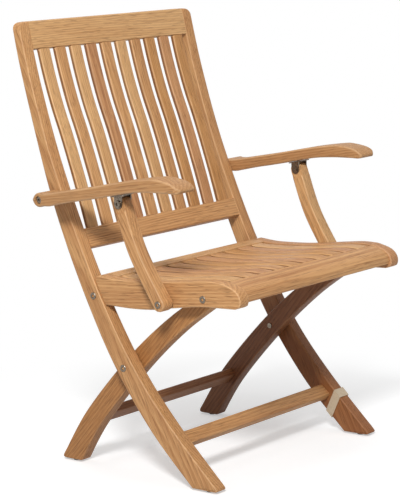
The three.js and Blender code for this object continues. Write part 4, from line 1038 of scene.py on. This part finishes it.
r = FLOOR_REACH
floor_mesh = bpy.data.meshes.new("floor")
floor_mesh.from_pydata([(-r, -r, 0), (r, -r, 0), (r, r, 0), (-r, r, 0)], [], [(0, 1, 2, 3)])
floor = bpy.data.objects.new("floor", floor_mesh)
bpy.context.scene.collection.objects.link(floor)
floor_look, t, _ = new_material("floor_white")
floor_look.node_tree.nodes.clear()
in_camera_or_gloss = camera_or_gloss_ray(t)
matt = t.make("ShaderNodeBsdfDiffuse", {"Color": FLOOR_PALE})
glow = t.make("ShaderNodeEmission", {"Color": WHITE, "Strength": t.maths("MULTIPLY", in_camera_or_gloss, FLOOR_GLOW)})
both = t.make("ShaderNodeAddShader", {0: matt.outputs[0], 1: glow.outputs[0]})
place = t.make("ShaderNodeTexCoord").outputs["Object"]
away = t.make("ShaderNodeVectorMath", {0: place}, operation="LENGTH").outputs["Value"]
far = t.maths("MULTIPLY", t.between(away, *FADE), in_camera_or_gloss)
white = t.make("ShaderNodeEmission", {"Color": WHITE, "Strength": 1.0})
ground = t.make("ShaderNodeMixShader", {0: far, 1: both.outputs[0], 2: white.outputs[0]})
t.make("ShaderNodeOutputMaterial", {"Surface": ground.outputs[0]})
floor_mesh.materials.append(floor_look)

world = bpy.data.worlds.new("studio")
bpy.context.scene.world = world
world.use_nodes = True
t = Tree(world.node_tree)
world.node_tree.nodes.clear()
strength = t.between(camera_or_gloss_ray(t), 0, 1, SKY_LIGHT, SKY_IN_CAMERA_OR_GLOSS)
sky = t.make("ShaderNodeBackground", {"Color": WHITE, "Strength": strength})
t.make("ShaderNodeOutputWorld", {"Surface": sky.outputs[0]})
print("floor and sky made")

# %% Lamps
MID_CHAIR = Vector((0, 0, 0.4))


def lamp(name, place, size, power):
    """A round lamp of a width in metres and a power in watts, turned to the middle of the chair."""
    light = bpy.data.lights.new(name, "AREA")
    light.shape = "DISK"
    light.size = size
    light.energy = power
    made = bpy.data.objects.new(name, light)
    made.location = place
    made.rotation_euler = (MID_CHAIR - Vector(place)).to_track_quat("-Z", "Y").to_euler()
    bpy.context.scene.collection.objects.link(made)


lamp("key", (-3.0, -2.0, 3.1), size=0.8, power=168)
lamp("top", (0.4, 0.2, 4.2), size=2.4, power=41)
print("two lamps, at the front left and above")

# %% [markdown]
# The camera was found from the chair's own straight lines in the photograph. It stands about four
# metres away at the chair's front left, a little higher than the back, with a long lens. It is turned
# a little about its own axis too, because the photograph isn't quite level.

# %% Camera
AZIMUTH, ELEVATION, ROLL = math.radians(-50.007), math.radians(9.408), math.radians(-2.134)
TARGET = Vector((0, (48 + FORWARD) * MM, 0.4258))
DISTANCE = 4.1306
LENS, SENSOR = 175.26, 36  # millimetres
SHIFT = (0.01, 0.0025)  # of the picture on the sensor, in shares of its width
back = Vector((math.sin(AZIMUTH) * math.cos(ELEVATION), -math.cos(AZIMUTH) * math.cos(ELEVATION),
               math.sin(ELEVATION)))
right = Vector((0, 0, 1)).cross(back).normalized()
up = back.cross(right)
rolled_right = right * math.cos(ROLL) + up * math.sin(ROLL)
rolled_up = up * math.cos(ROLL) - right * math.sin(ROLL)
turn = Matrix((rolled_right, rolled_up, back)).transposed().to_4x4()
camera = bpy.data.objects.new("camera", bpy.data.cameras.new("camera"))
camera.matrix_world = Matrix.Translation(TARGET + back * DISTANCE) @ turn
camera.data.sensor_fit = "HORIZONTAL"
camera.data.sensor_width = SENSOR
camera.data.lens = LENS
camera.data.shift_x, camera.data.shift_y = SHIFT
bpy.context.scene.collection.objects.link(camera)
bpy.context.scene.camera = camera
bpy.context.scene.view_settings.view_transform = "Standard"
print("camera", round(DISTANCE, 2), "m away")
